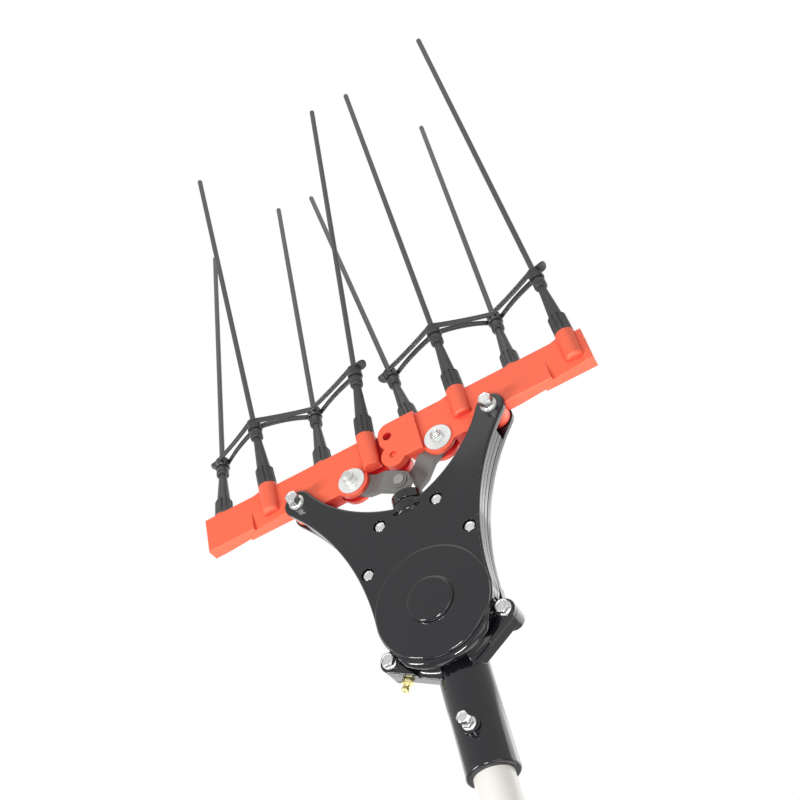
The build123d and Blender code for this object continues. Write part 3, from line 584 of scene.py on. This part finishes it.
def cover_screws():
    """Screws sunk in the cover's recesses."""
    recess = 5.2
    head = 4.4
    dish = 0.45
    shank = 17.8
    screws = bmesh.new()
    for number, (x, z) in enumerate(SCREW_PLACES):
        for side in (-1, 1):
            turn = 13 + 17 * number + 9 * side
            place = along_depth(side * x, FRONT_Y + recess, z, turn)
            hexagon_head(screws, place, M5_FLAT, 0.0, head, dish)
            plain_shank(screws, place, M5_RADIUS, shank)
    piece("cover_screw_set", screws, "housing", "zinc_steel", "cover_screws")


def pole_lock():
    """Bolt that locks the pole in its socket, with a flanged nut on the pad."""
    bolt_turn = 22
    head = (8.8, 13.0)
    dish = 0.3
    thread = (-9.6, 9.0)
    nut_turn = 5
    nut_height = (1.0, 5.0)
    bore = 2.2
    lock = bmesh.new()
    place = along_depth(0, LOCK_PAD_FRONT, LOCK_Z, bolt_turn)
    hexagon_head(lock, place, M5_FLAT, *head, dish)
    threaded(lock, place, M5_RADIUS, M5_PITCH, *thread)
    piece("lock_bolt_detailed", lock, "housing", "zinc_steel", "pole_lock_bolt")
    nut = bmesh.new()
    place = along_depth(0, LOCK_PAD_FRONT, LOCK_Z, nut_turn)
    hexagon_head(nut, place, M5_FLAT, *nut_height, 0.0, hole=bore)
    flange = [(bore, 0.0), (5.1, 0.0), (5.4, 0.3), (5.4, 0.8), (5.1, 1.1), (4.2, 1.7), (bore, 1.7)]
    turned(nut, place, flange, closed=True)
    piece("lock_nut_detailed", nut, "housing", "zinc_steel", "pole_lock_nut")


def link_bolts():
    """Bolts and nuts of the combs' clevises; the left bolt's head is in front, the right one's behind."""
    head_seat = 9.9
    nut_seat = 8.1
    head = 6.5
    dish = 0.3
    shank = 17.0
    thread = (-25.0, -16.5)
    nut_turn = 19
    for side, label, turn in ((-1, "left", 8), (1, "right", 33)):
        x = side * LINK_BOLT_X
        facing = -side
        flip = Matrix.Identity(4) if facing > 0 else HALF_TURN
        bolt = bmesh.new()
        place = along_depth(x, COMB_Y - head_seat * facing, LINK_BOLT_Z, turn) @ flip
        hexagon_head(bolt, place, M6_FLAT, 0.0, head, dish)
        plain_shank(bolt, place, M6_RADIUS, shank)
        threaded(bolt, place, M6_RADIUS, M6_PITCH, *thread)
        piece("link_bolt_detailed_" + label, bolt, label + "_comb", "zinc_steel", "link_bolt_" + label)
        nut = bmesh.new()
        lock_nut(nut, along_depth(x, COMB_Y + nut_seat * facing, LINK_BOLT_Z, turn + nut_turn) @ flip)
        piece("link_nut_detailed_" + label, nut, label + "_comb", "zinc_steel", "link_nut_" + label)


class HARVESTER_OT_fasteners(bpy.types.Operator):
    """Build the bolts, screws and nuts with chamfers, flanges and threads"""

    bl_idname = "harvester.fasteners"
    bl_label = "Bolts and nuts"

    def execute(self, context):
        pivot_bolts()
        lug_bolts()
        cover_screws()
        pole_lock()
        link_bolts()
        return {"FINISHED"}


def gusset_edge():
    """Ends of the right gusset's straight edge in x and z, from the socket up to the lug's round."""
    corner = Vector((SOCKET_RADIUS, GUSSET_Z))
    lug = Vector((LUG_X, LUG_Z))
    span = lug - corner
    tangent = math.sqrt(span.length_squared - LUG_RADIUS**2)
    unit = span.normalized()
    side = Vector((unit.y, -unit.x))
    touch = corner + unit * (tangent**2 / span.length) + side * (tangent * LUG_RADIUS / span.length)
    return corner, touch


def ray(angle):
    """Direction in x and z at an angle from the right."""
    return Vector((math.cos(angle), math.sin(angle)))


def round_case(section, out, side=1):
    """Points of a section, each a radius and a depth, along a direction out from the gear case's axis."""
    return [(side * away * out.x, depth, GEAR_Z + away * out.y) for away, depth in section]


def casting(name, sections):
    """Piece of the painted casting, lofted through sections of points."""
    shape = bmesh.new()
    loft(shape, sections)
    piece(name, shape, "housing", "housing_black")


class HARVESTER_OT_fillets(bpy.types.Operator):
    """Build the cast fillets between the round gear case and its gussets"""

    bl_idname = "harvester.fillets"
    bl_label = "Casting fillets"

    def execute(self, context):
        centre = Vector((0, GEAR_Z))
        corner, touch = gusset_edge()
        slope = (touch - corner).normalized()
        tip = corner + slope * ((RIB_TIP_X - corner.x) / slope.x)
        shoulder = Vector((LUG_X, LUG_Z)) - slope * LUG_RADIUS
        rib = (shoulder - tip).normalized()
        borders = [(corner, Vector((slope.y, -slope.x))), (tip, Vector((rib.y, -rib.x)))]
        wall, top = FILLET_WALL, FILLET_TOP
        sunk = wall - FILLET_SUNK
        margin = 0.2
        stations = 24
        bends = 8
        for label, side in SIDES:
            sections = []
            for step in range(stations + 1):
                out = ray(math.radians(FILLET_START - FILLET_TURN * step / stations))
                edge = min(normal.dot(place - centre) / normal.dot(out) for place, normal in borders) - margin
                section = []
                for number in range(bends + 1):
                    turn = math.radians(90 * number / bends)
                    away = wall + (edge - wall) * (1 - math.cos(turn))
                    section.append((away, top + (FILLET_FLOOR - top) * math.sin(turn)))
                section += [(edge, FILLET_BACK), (sunk, FILLET_BACK), (sunk, top)]
                sections.append(round_case(section, out, side))
            casting("case_fillet_" + label, sections)
        return {"FINISHED"}


def arm_side():
    """Points and outward directions in x and z down the right arm's outer side, from the fork to the lug."""
    lowest = -19.5
    arm_steps = 40
    case_steps = 10
    across = CASE_RADIUS - PIVOT_X
    rise = PIVOT_Z - GEAR_Z
    sweep = (across**2 + rise**2 - ARM_TIP_RADIUS**2) / (2 * (ARM_TIP_RADIUS - across))
    centre = Vector((CASE_RADIUS + sweep, GEAR_Z))
    tip = math.atan2(rise, PIVOT_X - centre.x)
    fork = tip + math.sqrt(FORK_REACH**2 - ARM_TIP_RADIUS**2) / sweep
    path = []
    for step in range(arm_steps + 1):
        away = ray(fork + (math.pi - fork) * step / arm_steps)
        path.append((centre + away * sweep, -away))
    for step in range(1, case_steps + 1):
        away = ray(math.radians(lowest * step / case_steps))
        path.append((Vector((0, GEAR_Z)) + away * CASE_RADIUS, away))
    return path


class HARVESTER_OT_walls(bpy.types.Operator):
    """Build the arms' outer side walls flush with the plates, with the thin seams between the castings"""

    bl_idname = "harvester.walls"
    bl_label = "Arm walls"

    def execute(self, context):
        low = -1.5
        proud = -0.05
        crown = 0.06
        lap = 0.5
        front_seam = FORK_FRONT + 0.2
        grooves = [(front_seam, 0.3, 0.7), (STEP_Y, 0.35, 0.6), (PARTING_Y, 0.6, 0.9)]
        section = [(FORK_FRONT - lap, low), (FORK_FRONT - lap, proud - crown)]
        for place, half, depth in grooves:
            last = section[-1][0]
            section.append(((last + place - half) / 2, proud))
            section.append((place - half, proud - crown))
            section.append((place, proud - depth))
            section.append((place + half, proud - crown))
        section += [(FORK_BACK + lap, proud), (FORK_BACK + lap, low)]
        for label, side in SIDES:
            sections = []
            for place, away in arm_side():
                points = [(place + away * out, depth) for depth, out in section]
                sections.append([(side * point.x, depth, point.y) for point, depth in points])
            casting("arm_wall_" + label, sections)
        return {"FINISHED"}


def bend(radius, height, size, first, last):
    """Points of a profile's arc about a centre, between two angles in degrees."""
    count = 18
    angles = [math.radians(first + (last - first) * step / count) for step in range(count + 1)]
    return [(radius + size * math.cos(angle), height + size * math.sin(angle)) for angle in angles]


class HARVESTER_OT_disc(bpy.types.Operator):
    """Build the cover's raised disc and boss with their rounded cast edges"""

    bl_idname = "harvester.disc"
    bl_label = "Raised disc"

    def execute(self, context):
        boss_top = DISC_FACE + BOSS_EDGE + BOSS_FOOT
        profile = [(0, boss_top)]
        profile += bend(BOSS_RADIUS - BOSS_EDGE, boss_top - BOSS_EDGE, BOSS_EDGE, 90, 0)
        profile += bend(BOSS_RADIUS + BOSS_FOOT, DISC_FACE + BOSS_FOOT, BOSS_FOOT, 180, 270)
        profile += bend(DISC_RADIUS - DISC_EDGE, DISC_FACE - DISC_EDGE, DISC_EDGE, 90, 0)
        profile += [(DISC_RADIUS, DISC_SUNK), (0, DISC_SUNK)]
        shape = bmesh.new()
        turned(shape, along_depth(0, FRONT_Y, GEAR_Z, 0), profile, count=240)
        piece("cover_disc", shape, "housing", "housing_black")
        return {"FINISHED"}


class HARVESTER_OT_rim(bpy.types.Operator):
    """Build the rolled rim round the lower edge of the gear case's front plate, between the two lugs"""

    bl_idname = "harvester.rim"
    bl_label = "Case rim"

    def execute(self, context):
        stations = 80
        sections = []
        for step in range(stations + 1):
            share = step / stations
            fade = min(1.0, min(share, 1 - share) / RIM_FADE)
            full = fade * fade * (3 - 2 * fade)
            centre = Vector(RIM_SUNK).lerp(Vector(RIM_CENTRE), full)
            size = RIM_SUNK_SIZE + (RIM_SIZE - RIM_SUNK_SIZE) * full
            profile = bend(centre.x, centre.y, size, 90, -60)
            profile += [(RIM_INNER, profile[-1][1]), (RIM_INNER, profile[0][1])]
            section = [(away, FRONT_Y - height) for away, height in profile]
            out = ray(math.radians(-RIM_START - (180 - 2 * RIM_START) * share))
            sections.append(round_case(section, out))
        casting("case_rim", sections)
        return {"FINISHED"}


def nipple_place():
    """Place on the left gusset's edge with its axis square to the edge, as the loaded model has it."""
    corner, touch = gusset_edge()
    slope = (touch - corner).normalized()
    seat = corner.lerp(touch, NIPPLE_SHARE)
    axis = Vector((-slope.y, 0, -slope.x))
    depth = Vector((0, 1, 0))
    turn = Matrix((depth.cross(axis), depth, axis)).transposed().to_4x4()
    return Matrix.Translation((-seat.x, NIPPLE_Y, seat.y)) @ turn


class HARVESTER_OT_nipple(bpy.types.Operator):
    """Build the grease nipple with its hexagon, neck and ball head"""

    bl_idname = "harvester.nipple"
    bl_label = "Grease nipple"

    def execute(self, context):
        shape = bmesh.new()
        place = nipple_place()
        shank_radius = 3.0
        shank = 5.0
        flat = 4.0
        foot = 0.7
        top = 4.0
        plain_shank(shape, place, shank_radius, shank, sunk=0.9)
        hexagon_head(shape, place, flat, foot, top, 0.0)
        head = [(0, 3.8), (2.8, 3.8), (2.6, 4.6), (2.5, 5.4), (2.6, 6.1), (2.9, 6.7), (3.15, 7.3), (3.2, 8.0)]
        head += [(3.1, 8.7), (2.6, 9.4), (1.8, 9.9), (1.1, 10.0), (0.8, 9.8), (0.75, 9.3), (0, 9.1)]
        turned(shape, place, head, count=40)
        piece("nipple_detailed", shape, "housing", "nipple_brass", "grease_nipple")
        return {"FINISHED"}


def tine_frames(comb):
    """Places at the feet of a comb's four tine holders, each with its axis along the tine."""
    frames = []
    for x, side, lean_along, lean_side in TINE_PLACES:
        along = math.sin(math.radians(lean_along))
        aside = side * math.sin(math.radians(lean_side))
        axis = Vector((along, aside, 1)).normalized()
        across = Vector((axis.z, 0, -axis.x)).normalized()
        turn = Matrix((across, axis.cross(across), axis)).transposed().to_4x4()
        frames.append(Matrix.Translation((x, COMB_Y + side * TINE_OFFSET, BOSS_TOP)) @ turn)
    if comb > 0:
        middle = Matrix.Translation((0, COMB_Y, 0))
        half_turn = middle @ Matrix.Rotation(math.pi, 4, "Z") @ middle.inverted()
        frames = [half_turn @ place for place in frames]
    return frames


def fluted(flutes):
    """Radius of a collar with its moulded flutes."""
    low = 1.6
    high = 18.0
    collar_least = 7.0
    depth = 0.95
    period = 2 * math.pi / flutes
    half_width = 0.24 * period

    def reach(radius, height, angle):
        if not low <= height <= high or radius < collar_least:
            return radius
        off = abs((angle + period / 2) % period - period / 2) / half_width
        return radius - (depth * math.cos(off * math.pi / 2) ** 2 if off < 1 else 0.0)

    return reach


def taper(radius, height, drop, rise, count):
    """Points of a straight side that narrows as it rises."""
    return [(radius - drop * step / count, height + rise * step / count) for step in range(count + 1)]


class HARVESTER_OT_holders(bpy.types.Operator):
    """Build the rubber tine holders with their fluted collars"""

    bl_idname = "harvester.holders"
    bl_label = "Tine holders"

    def execute(self, context):
        bore = 2.55
        foot = [(bore, -11.5), (5.0, -11.5), (5.0, 0.05), (8.0, 0.05), (8.35, 0.4), (8.35, 1.55), (8.35, 1.6)]
        collar = taper(8.3, 1.7, drop=0.3, rise=16.3, count=8)
        collar += [(7.95, 18.05), (7.6, 18.5), (6.4, 18.6), (6.15, 19.2)]
        cone = taper(6.1, 20, drop=2.5, rise=34, count=6)
        cap = [(3.7, 54.5), (5.0, 54.7), (5.5, 55.1), (5.75, 55.8), (5.75, 62.7), (5.5, 63.5), (4.8, 64.0)]
        top = [(4.8, 74.6), (4.5, 75.2), (3.9, 75.5), (bore, 75.5)]
        profile = foot + collar + cone + cap + top
        reach = fluted(context.scene.harvester_sizes.flutes)
        for label, side in SIDES:
            shape = bmesh.new()
            for place in tine_frames(side):
                turned(shape, place, profile, count=120, closed=True, reach=reach)
            piece("holder_set_" + label, shape, label + "_comb", "holder_rubber", "tine_holders_" + label)
        return {"FINISHED"}


def strand(shape, start, end, side, away, bow, height, half):
    """Strand of the strap between two eyelets: a thin band with a bead along each edge."""
    foot, head = (place @ Vector((0, 0, height)) for place in (start, end))
    along = (head - foot).normalized()
    bead = 0.95
    bead_start = -60
    bead_step = 15
    bead_points = 21
    stations = 28
    outline = []
    for up in (1, -1):
        for step in range(bead_points):
            angle = math.radians(bead_start + bead_step * step)
            outline.append((bead * math.cos(angle) * up, (half - bead + bead * math.sin(angle)) * up))
    sections = []
    for step in range(stations + 1):
        share = step / stations
        upright = start.col[2].xyz.lerp(end.col[2].xyz, share)
        upright = (upright - along * upright.dot(along)).normalized()
        across = along.cross(upright) * side
        centre = foot.lerp(head, share) + across * (away - bow * (1 - (2 * share - 1) ** 2))
        sections.append([centre + across * out + upright * rise for out, rise in outline])
    loft(shape, sections)


def tab(shape, place, outwards, height):
    """Finger tab at the strap's end: a thin rounded lip on the eyelet's top edge that curls up a little."""
    root = 3.0
    length = 9.5
    half_width = 5.0
    thickness = 1.9
    round_start = 8.0
    round_length = 4.6
    tip_share = 0.02
    curl_start = 6.0
    curl_rate = 0.045
    steps_out = 10
    steps_across = 8
    axis = place.col[2].xyz
    across = (outwards - axis * outwards.dot(axis)).normalized()
    sideways = axis.cross(across)
    top = place @ Vector((0, 0, height))
    layers = []
    for sink in (0.0, thickness):
        grid = []
        for step in range(steps_out + 1):
            reach = root + length * step / steps_out
            half = half_width
            if reach >= round_start:
                half *= math.sqrt(max(tip_share, 1 - ((reach - round_start) / round_length) ** 2))
            curl = curl_rate * max(0.0, reach - curl_start) ** 2 - sink
            row = []
            for number in range(steps_across + 1):
                share = 2 * number / steps_across - 1
                point = top + across * reach + sideways * half * share + axis * curl
                row.append(shape.verts.new(point))
            grid.append(row)
        layers.append(grid)
    upper, lower = layers
    for grid in layers:
        for row, following in zip(grid, grid[1:]):
            for here in range(steps_across):
                shape.faces.new((row[here], row[here + 1], following[here + 1], following[here]))
    border = [(0, n) for n in range(steps_across + 1)]
    border += [(m, steps_across) for m in range(1, steps_out + 1)]
    border += [(steps_out, n) for n in range(steps_across - 1, -1, -1)]
    border += [(m, 0) for m in range(steps_out - 1, 0, -1)]
    for (a, b), (c, d) in zip(border, border[1:] + border[:1]):
        shape.faces.new((upper[a][b], upper[c][d], lower[c][d], lower[a][b]))


class HARVESTER_OT_straps(bpy.types.Operator):
    """Build the rubber straps that tie the tine holders together"""

    bl_idname = "harvester.straps"
    bl_label = "Tie straps"

    def execute(self, context):
        sizes = context.scene.harvester_sizes
        half = sizes.eyelet_height / 2 / MM
        outer = sizes.eyelet_radius / MM
        middle = sizes.strap_height / MM
        rise = sizes.strand_height / 2 / MM
        away = sizes.strand_radius / MM
        bore = 4.82
        ring = [(bore, -half), (outer - 0.2, -half), (outer + 0.25, 0.45 - half), (outer + 0.25, 1.3 - half)]
        ring += [(outer - 0.1, 1.7 - half), (outer - 0.1, half - 1.6), (outer, half - 1.0)]
        ring += [(outer - 0.15, half - 0.4), (outer - 0.7, half), (5.4, half), (bore, half - 0.3)]
        ring = [(radius, height + middle) for radius, height in ring]
        for label, comb in SIDES:
            shape = bmesh.new()
            frames = tine_frames(comb)
            for place in frames:
                turned(shape, place, ring, count=56, closed=True)
            for start, end, rear_share in zip(frames, frames[1:], REAR_BOW_SHARES):
                for side in (1, -1):
                    in_front = side != comb
                    bow = (sizes.front_bow if in_front else sizes.rear_bow * rear_share) / MM
                    strand(shape, start, end, side, away, bow, middle + half - rise, rise)
            for last, neighbour in ((frames[0], frames[1]), (frames[-1], frames[-2])):
                tab(shape, last, last.translation - neighbour.translation, middle + half)
            piece("strap_" + label, shape, label + "_comb", "strap_rubber", "tie_strap_" + label)
        return {"FINISHED"}


def lighter(colour, share):
    """Colour made lighter by a share."""
    return [share * part for part in colour]


class HARVESTER_OT_finishes(bpy.types.Operator):
    """Make the finishes and put them on the loaded model's parts"""

    bl_idname = "harvester.finishes"
    bl_label = "Finishes"

    def execute(self, context):
        colours = context.scene.harvester_colours
        groups = {"mottle": mottle_group(), "brush": brush_group()}
        even = (1.0, 1.0, 1.0)
        along = (1.0, 1.0, 0.06)
        # Colour spread, patch scale, roughness and its spread, grain scale, bump, radius of softened edges
        moulded("housing_black", groups, colours.paint, 0.5, 60.0, 0.10, 0.06, 700.0, 0.05, 0.9)
        moulded("gasket_black", groups, (0.012, 0.012, 0.012), 0.4, 300.0, 0.6, 0.2, 2000.0, 0.3, 0.1)
        moulded("gland_black", groups, (0.008, 0.008, 0.009), 0.4, 80.0, 0.14, 0.06, 900.0, 0.05, 0.5)
        moulded("seal_rubber", groups, colours.rubber, 0.3, 200.0, 0.45, 0.1, 2000.0, 0.2, 0.2)
        moulded("bush_plastic", groups, (0.7, 0.7, 0.66), 0.1, 200.0, 0.4, 0.1, 2000.0, 0.1, 0.2)
        moulded("pole_white", groups, colours.pole, 0.05, 30.0, 0.32, 0.10, 1500.0, 0.06, 0.4)
        moulded("comb_orange", groups, colours.comb, 0.10, 35.0, 0.40, 0.14, 1800.0, 0.10, 0.7)
        # Painted shade in the combs' corners and gaps, from an ambient occlusion mask
        paint_gap_shade("comb_orange", colours.comb_painted_shade, 25.0, 0.25, 0.85)
        moulded("holder_rubber", groups, colours.rubber, 0.4, 150.0, 0.40, 0.16, 2500.0, 0.04, 0.0)
        moulded("strap_rubber", groups, colours.rubber, 0.4, 150.0, 0.30, 0.10, 2500.0, 0.0, 0.0)
        # Direction of the scratches, roughness and its spread, bump, radius of softened edges
        drawn("tine_carbon", groups, colours.carbon, along, 0.36, 0.12, 0.04, 0.0, metallic=0.0)
        drawn("zinc_steel", groups, colours.zinc, even, 0.30, 0.25, 0.15, 0.25)
        drawn("zinc_matt", groups, lighter(colours.zinc, 1.2), even, 0.58, 0.25, 0.25, 0.3)
        drawn("bright_steel", groups, (0.62, 0.62, 0.62), along, 0.20, 0.2, 0.1, 0.3)
        drawn("spring_steel", groups, (0.30, 0.30, 0.32), even, 0.30, 0.2, 0.1, 0.15)
        drawn("gear_steel", groups, (0.50, 0.50, 0.50), even, 0.30, 0.2, 0.1, 0.2)
        drawn("link_steel", groups, colours.link, even, 0.62, 0.20, 0.2, 0.4, metallic=0.4)
        drawn("bush_bronze", groups, (0.55, 0.38, 0.20), even, 0.35, 0.2, 0.2, 0.2)
        drawn("nipple_brass", groups, colours.brass, even, 0.36, 0.2, 0.1, 0.2)
        drawn("pin_steel", groups, lighter(colours.link, 1.7), even, 0.45, 0.20, 0.2, 0.3)
        special = {"link_pin_washers": "link_steel", "link_pin": "pin_steel"}
        for label in ("pivot_washers", "link_washers_left", "link_washers_right"):
            special[label] = "zinc_matt"
        for part in frame["record"]["subparts"]:
            shown = frame["nodes"][part["node"]].data
            shown.materials.clear()
            shown.materials.append(bpy.data.materials[special.get(part["node"], part["material_slot"])])
        return {"FINISHED"}


def seen_rays(tree):
    """One for rays that show a surface directly, mirrored or through glass, and nought for the others."""
    rays = node(tree, "ShaderNodeLightPath")
    first = node(tree, "ShaderNodeMath", operation="MAXIMUM")
    either = node(tree, "ShaderNodeMath", operation="MAXIMUM")
    links = tree.links.new
    links(rays.outputs["Is Camera Ray"], first.inputs[0])
    links(rays.outputs["Is Glossy Ray"], first.inputs[1])
    links(first.outputs[0], either.inputs[0])
    links(rays.outputs["Is Transmission Ray"], either.inputs[1])
    return either.outputs[0]


def surroundings(world, strength):
    """White as seen directly and in reflections, and a softer light on the object."""
    world.use_nodes = True
    tree = world.node_tree
    tree.nodes.clear()
    out = node(tree, "ShaderNodeOutputWorld")
    seen = node(tree, "ShaderNodeBackground", {"Color": (1.0, 1.0, 1.0, 1.0), "Strength": 1.0})
    lit = node(tree, "ShaderNodeBackground", {"Color": (1.0, 1.0, 1.0, 1.0), "Strength": strength})
    mix = node(tree, "ShaderNodeMixShader")
    links = tree.links.new
    links(seen_rays(tree), mix.inputs["Fac"])
    links(lit.outputs[0], mix.inputs[1])
    links(seen.outputs[0], mix.inputs[2])
    links(mix.outputs[0], out.inputs["Surface"])


def lamp(name, place, aim, width, height, power):
    """Soft lamp turned to a point."""
    data = bpy.data.lights.new(name, "AREA")
    data.shape = "RECTANGLE"
    data.size = width
    data.size_y = height
    data.energy = power
    made = bpy.data.objects.new(name, data)
    made.location = place
    made.rotation_euler = (Vector(aim) - Vector(place)).to_track_quat("-Z", "Y").to_euler()
    bpy.context.scene.collection.objects.link(made)


def studio_floor(drop, colour, glow):
    """Pale floor that takes the object's shadow and glows a little where it is seen."""
    mesh = bpy.data.meshes.new("floor")
    half = 6.0
    shape = bmesh.new()
    corners = [(-half, -half), (half, -half), (half, half), (-half, half)]
    shape.faces.new([shape.verts.new((x, y, -drop)) for x, y in corners])
    shape.to_mesh(mesh)
    shape.free()
    floor = bpy.data.objects.new("floor", mesh)
    bpy.context.scene.collection.objects.link(floor)
    paint = bpy.data.materials.new("floor_paint")
    paint.use_nodes = True
    tree = paint.node_tree
    shader = tree.nodes["Principled BSDF"]
    shader.inputs["Base Color"].default_value = (*colour, 1.0)
    shader.inputs["Emission Color"].default_value = (1.0, 1.0, 1.0, 1.0)
    shader.inputs["Roughness"].default_value = 0.8
    level = node(tree, "ShaderNodeMath", {1: glow}, operation="MULTIPLY")
    tree.links.new(seen_rays(tree), level.inputs[0])
    tree.links.new(level.outputs[0], shader.inputs["Emission Strength"])
    mesh.materials.append(paint)


class HARVESTER_OT_stage(bpy.types.Operator):
    """Set up the floor, the soft light and the camera"""

    bl_idname = "harvester.stage"
    bl_label = "Stage"

    def execute(self, context):
        scene = context.scene
        stage = scene.harvester_stage
        scene.view_settings.view_transform = "Standard"
        world = bpy.data.worlds.new("studio")
        scene.world = world
        surroundings(world, stage.surround)
        head = (0.0, -0.03, 0.23)
        middle = (0.0, -0.02, 0.42)
        fill = 0.45 * stage.front
        back_top = 0.16 * stage.back
        back_left = 0.5 * stage.back
        lamp("front_lamp", (0.0, -1.10, -0.51), head, 0.30, 0.10, stage.front)
        lamp("front_left_lamp", (-0.95, -0.84, -0.14), head, 0.50, 0.10, stage.front)
        lamp("front_right_lamp", (0.85, -0.90, -0.35), head, 0.9, 0.9, fill)
        lamp("back_right_lamp", (1.25, 1.25, 0.35), middle, 1.6, 1.6, stage.back)
        lamp("back_top_lamp", (0.5, 1.3, 1.3), middle, 1.0, 1.0, back_top)
        lamp("back_left_lamp", (-1.25, 1.25, 0.35), middle, 1.6, 1.6, back_left)
        lamp("top_lamp", (0.2, -0.7, 1.9), middle, 1.4, 1.4, stage.top)
        lamp("low_lamp", (0.0, 0.8, -1.4), (0.0, 0.8, 0.0), 2.0, 2.0, stage.low)
        studio_floor(stage.floor_drop, scene.harvester_colours.floor, stage.floor_glow)
        data = bpy.data.cameras.new("camera")
        data.lens = stage.lens
        data.sensor_width = 36.0
        data.shift_x = 0.0025
        camera = bpy.data.objects.new("camera", data)
        right = Vector((0.8706, 0.4469, -0.2060))
        up = Vector((0.4518, -0.5599, 0.6945))
        back = Vector((0.1950, -0.6977, -0.6893))
        eye = (0.2199, -0.7500, -0.2775)
        turn = Matrix((right, up, back)).transposed()
        camera.matrix_world = Matrix.Translation(eye) @ turn.to_4x4()
        scene.collection.objects.link(camera)
        scene.camera = camera
        return {"FINISHED"}


class HARVESTER_PT_panel(bpy.types.Panel):
    """Sizes, colours and steps of the harvester head"""

    bl_label = "Harvester"
    bl_idname = "HARVESTER_PT_panel"
    bl_space_type = "VIEW_3D"
    bl_region_type = "UI"
    bl_category = "Harvester"

    def draw(self, context):
        scene = context.scene
        for group in (scene.harvester_sizes, scene.harvester_colours, scene.harvester_stage):
            for name in group.__annotations__:
                self.layout.prop(group, name)
        for step in steps:
            self.layout.operator(step.bl_idname)


steps = (
    HARVESTER_OT_finishes,
    HARVESTER_OT_fasteners,
    HARVESTER_OT_nipple,
    HARVESTER_OT_fillets,
    HARVESTER_OT_disc,
    HARVESTER_OT_rim,
    HARVESTER_OT_walls,
    HARVESTER_OT_holders,
    HARVESTER_OT_straps,
    HARVESTER_OT_stage,
)
classes = (HarvesterSizes, HarvesterColours, HarvesterStage, *steps, HARVESTER_PT_panel)


def register():
    """Add the classes and the scene's settings."""
    for kind in classes:
        bpy.utils.register_class(kind)
    bpy.types.Scene.harvester_sizes = PointerProperty(type=HarvesterSizes)
    bpy.types.Scene.harvester_colours = PointerProperty(type=HarvesterColours)
    bpy.types.Scene.harvester_stage = PointerProperty(type=HarvesterStage)


def unregister():
    """Take the settings and the classes away again."""
    del bpy.types.Scene.harvester_stage
    del bpy.types.Scene.harvester_colours
    del bpy.types.Scene.harvester_sizes
    for kind in reversed(classes):
        bpy.utils.unregister_class(kind)


def main():
    """Dress the model step by step."""
    register()
    bpy.ops.harvester.finishes()
    bpy.ops.harvester.fasteners()
    bpy.ops.harvester.nipple()
    bpy.ops.harvester.fillets()
    bpy.ops.harvester.disc()
    bpy.ops.harvester.rim()
    bpy.ops.harvester.walls()
    bpy.ops.harvester.holders()
    bpy.ops.harvester.straps()
    bpy.ops.harvester.stage()


if __name__ == "__main__":
    main()
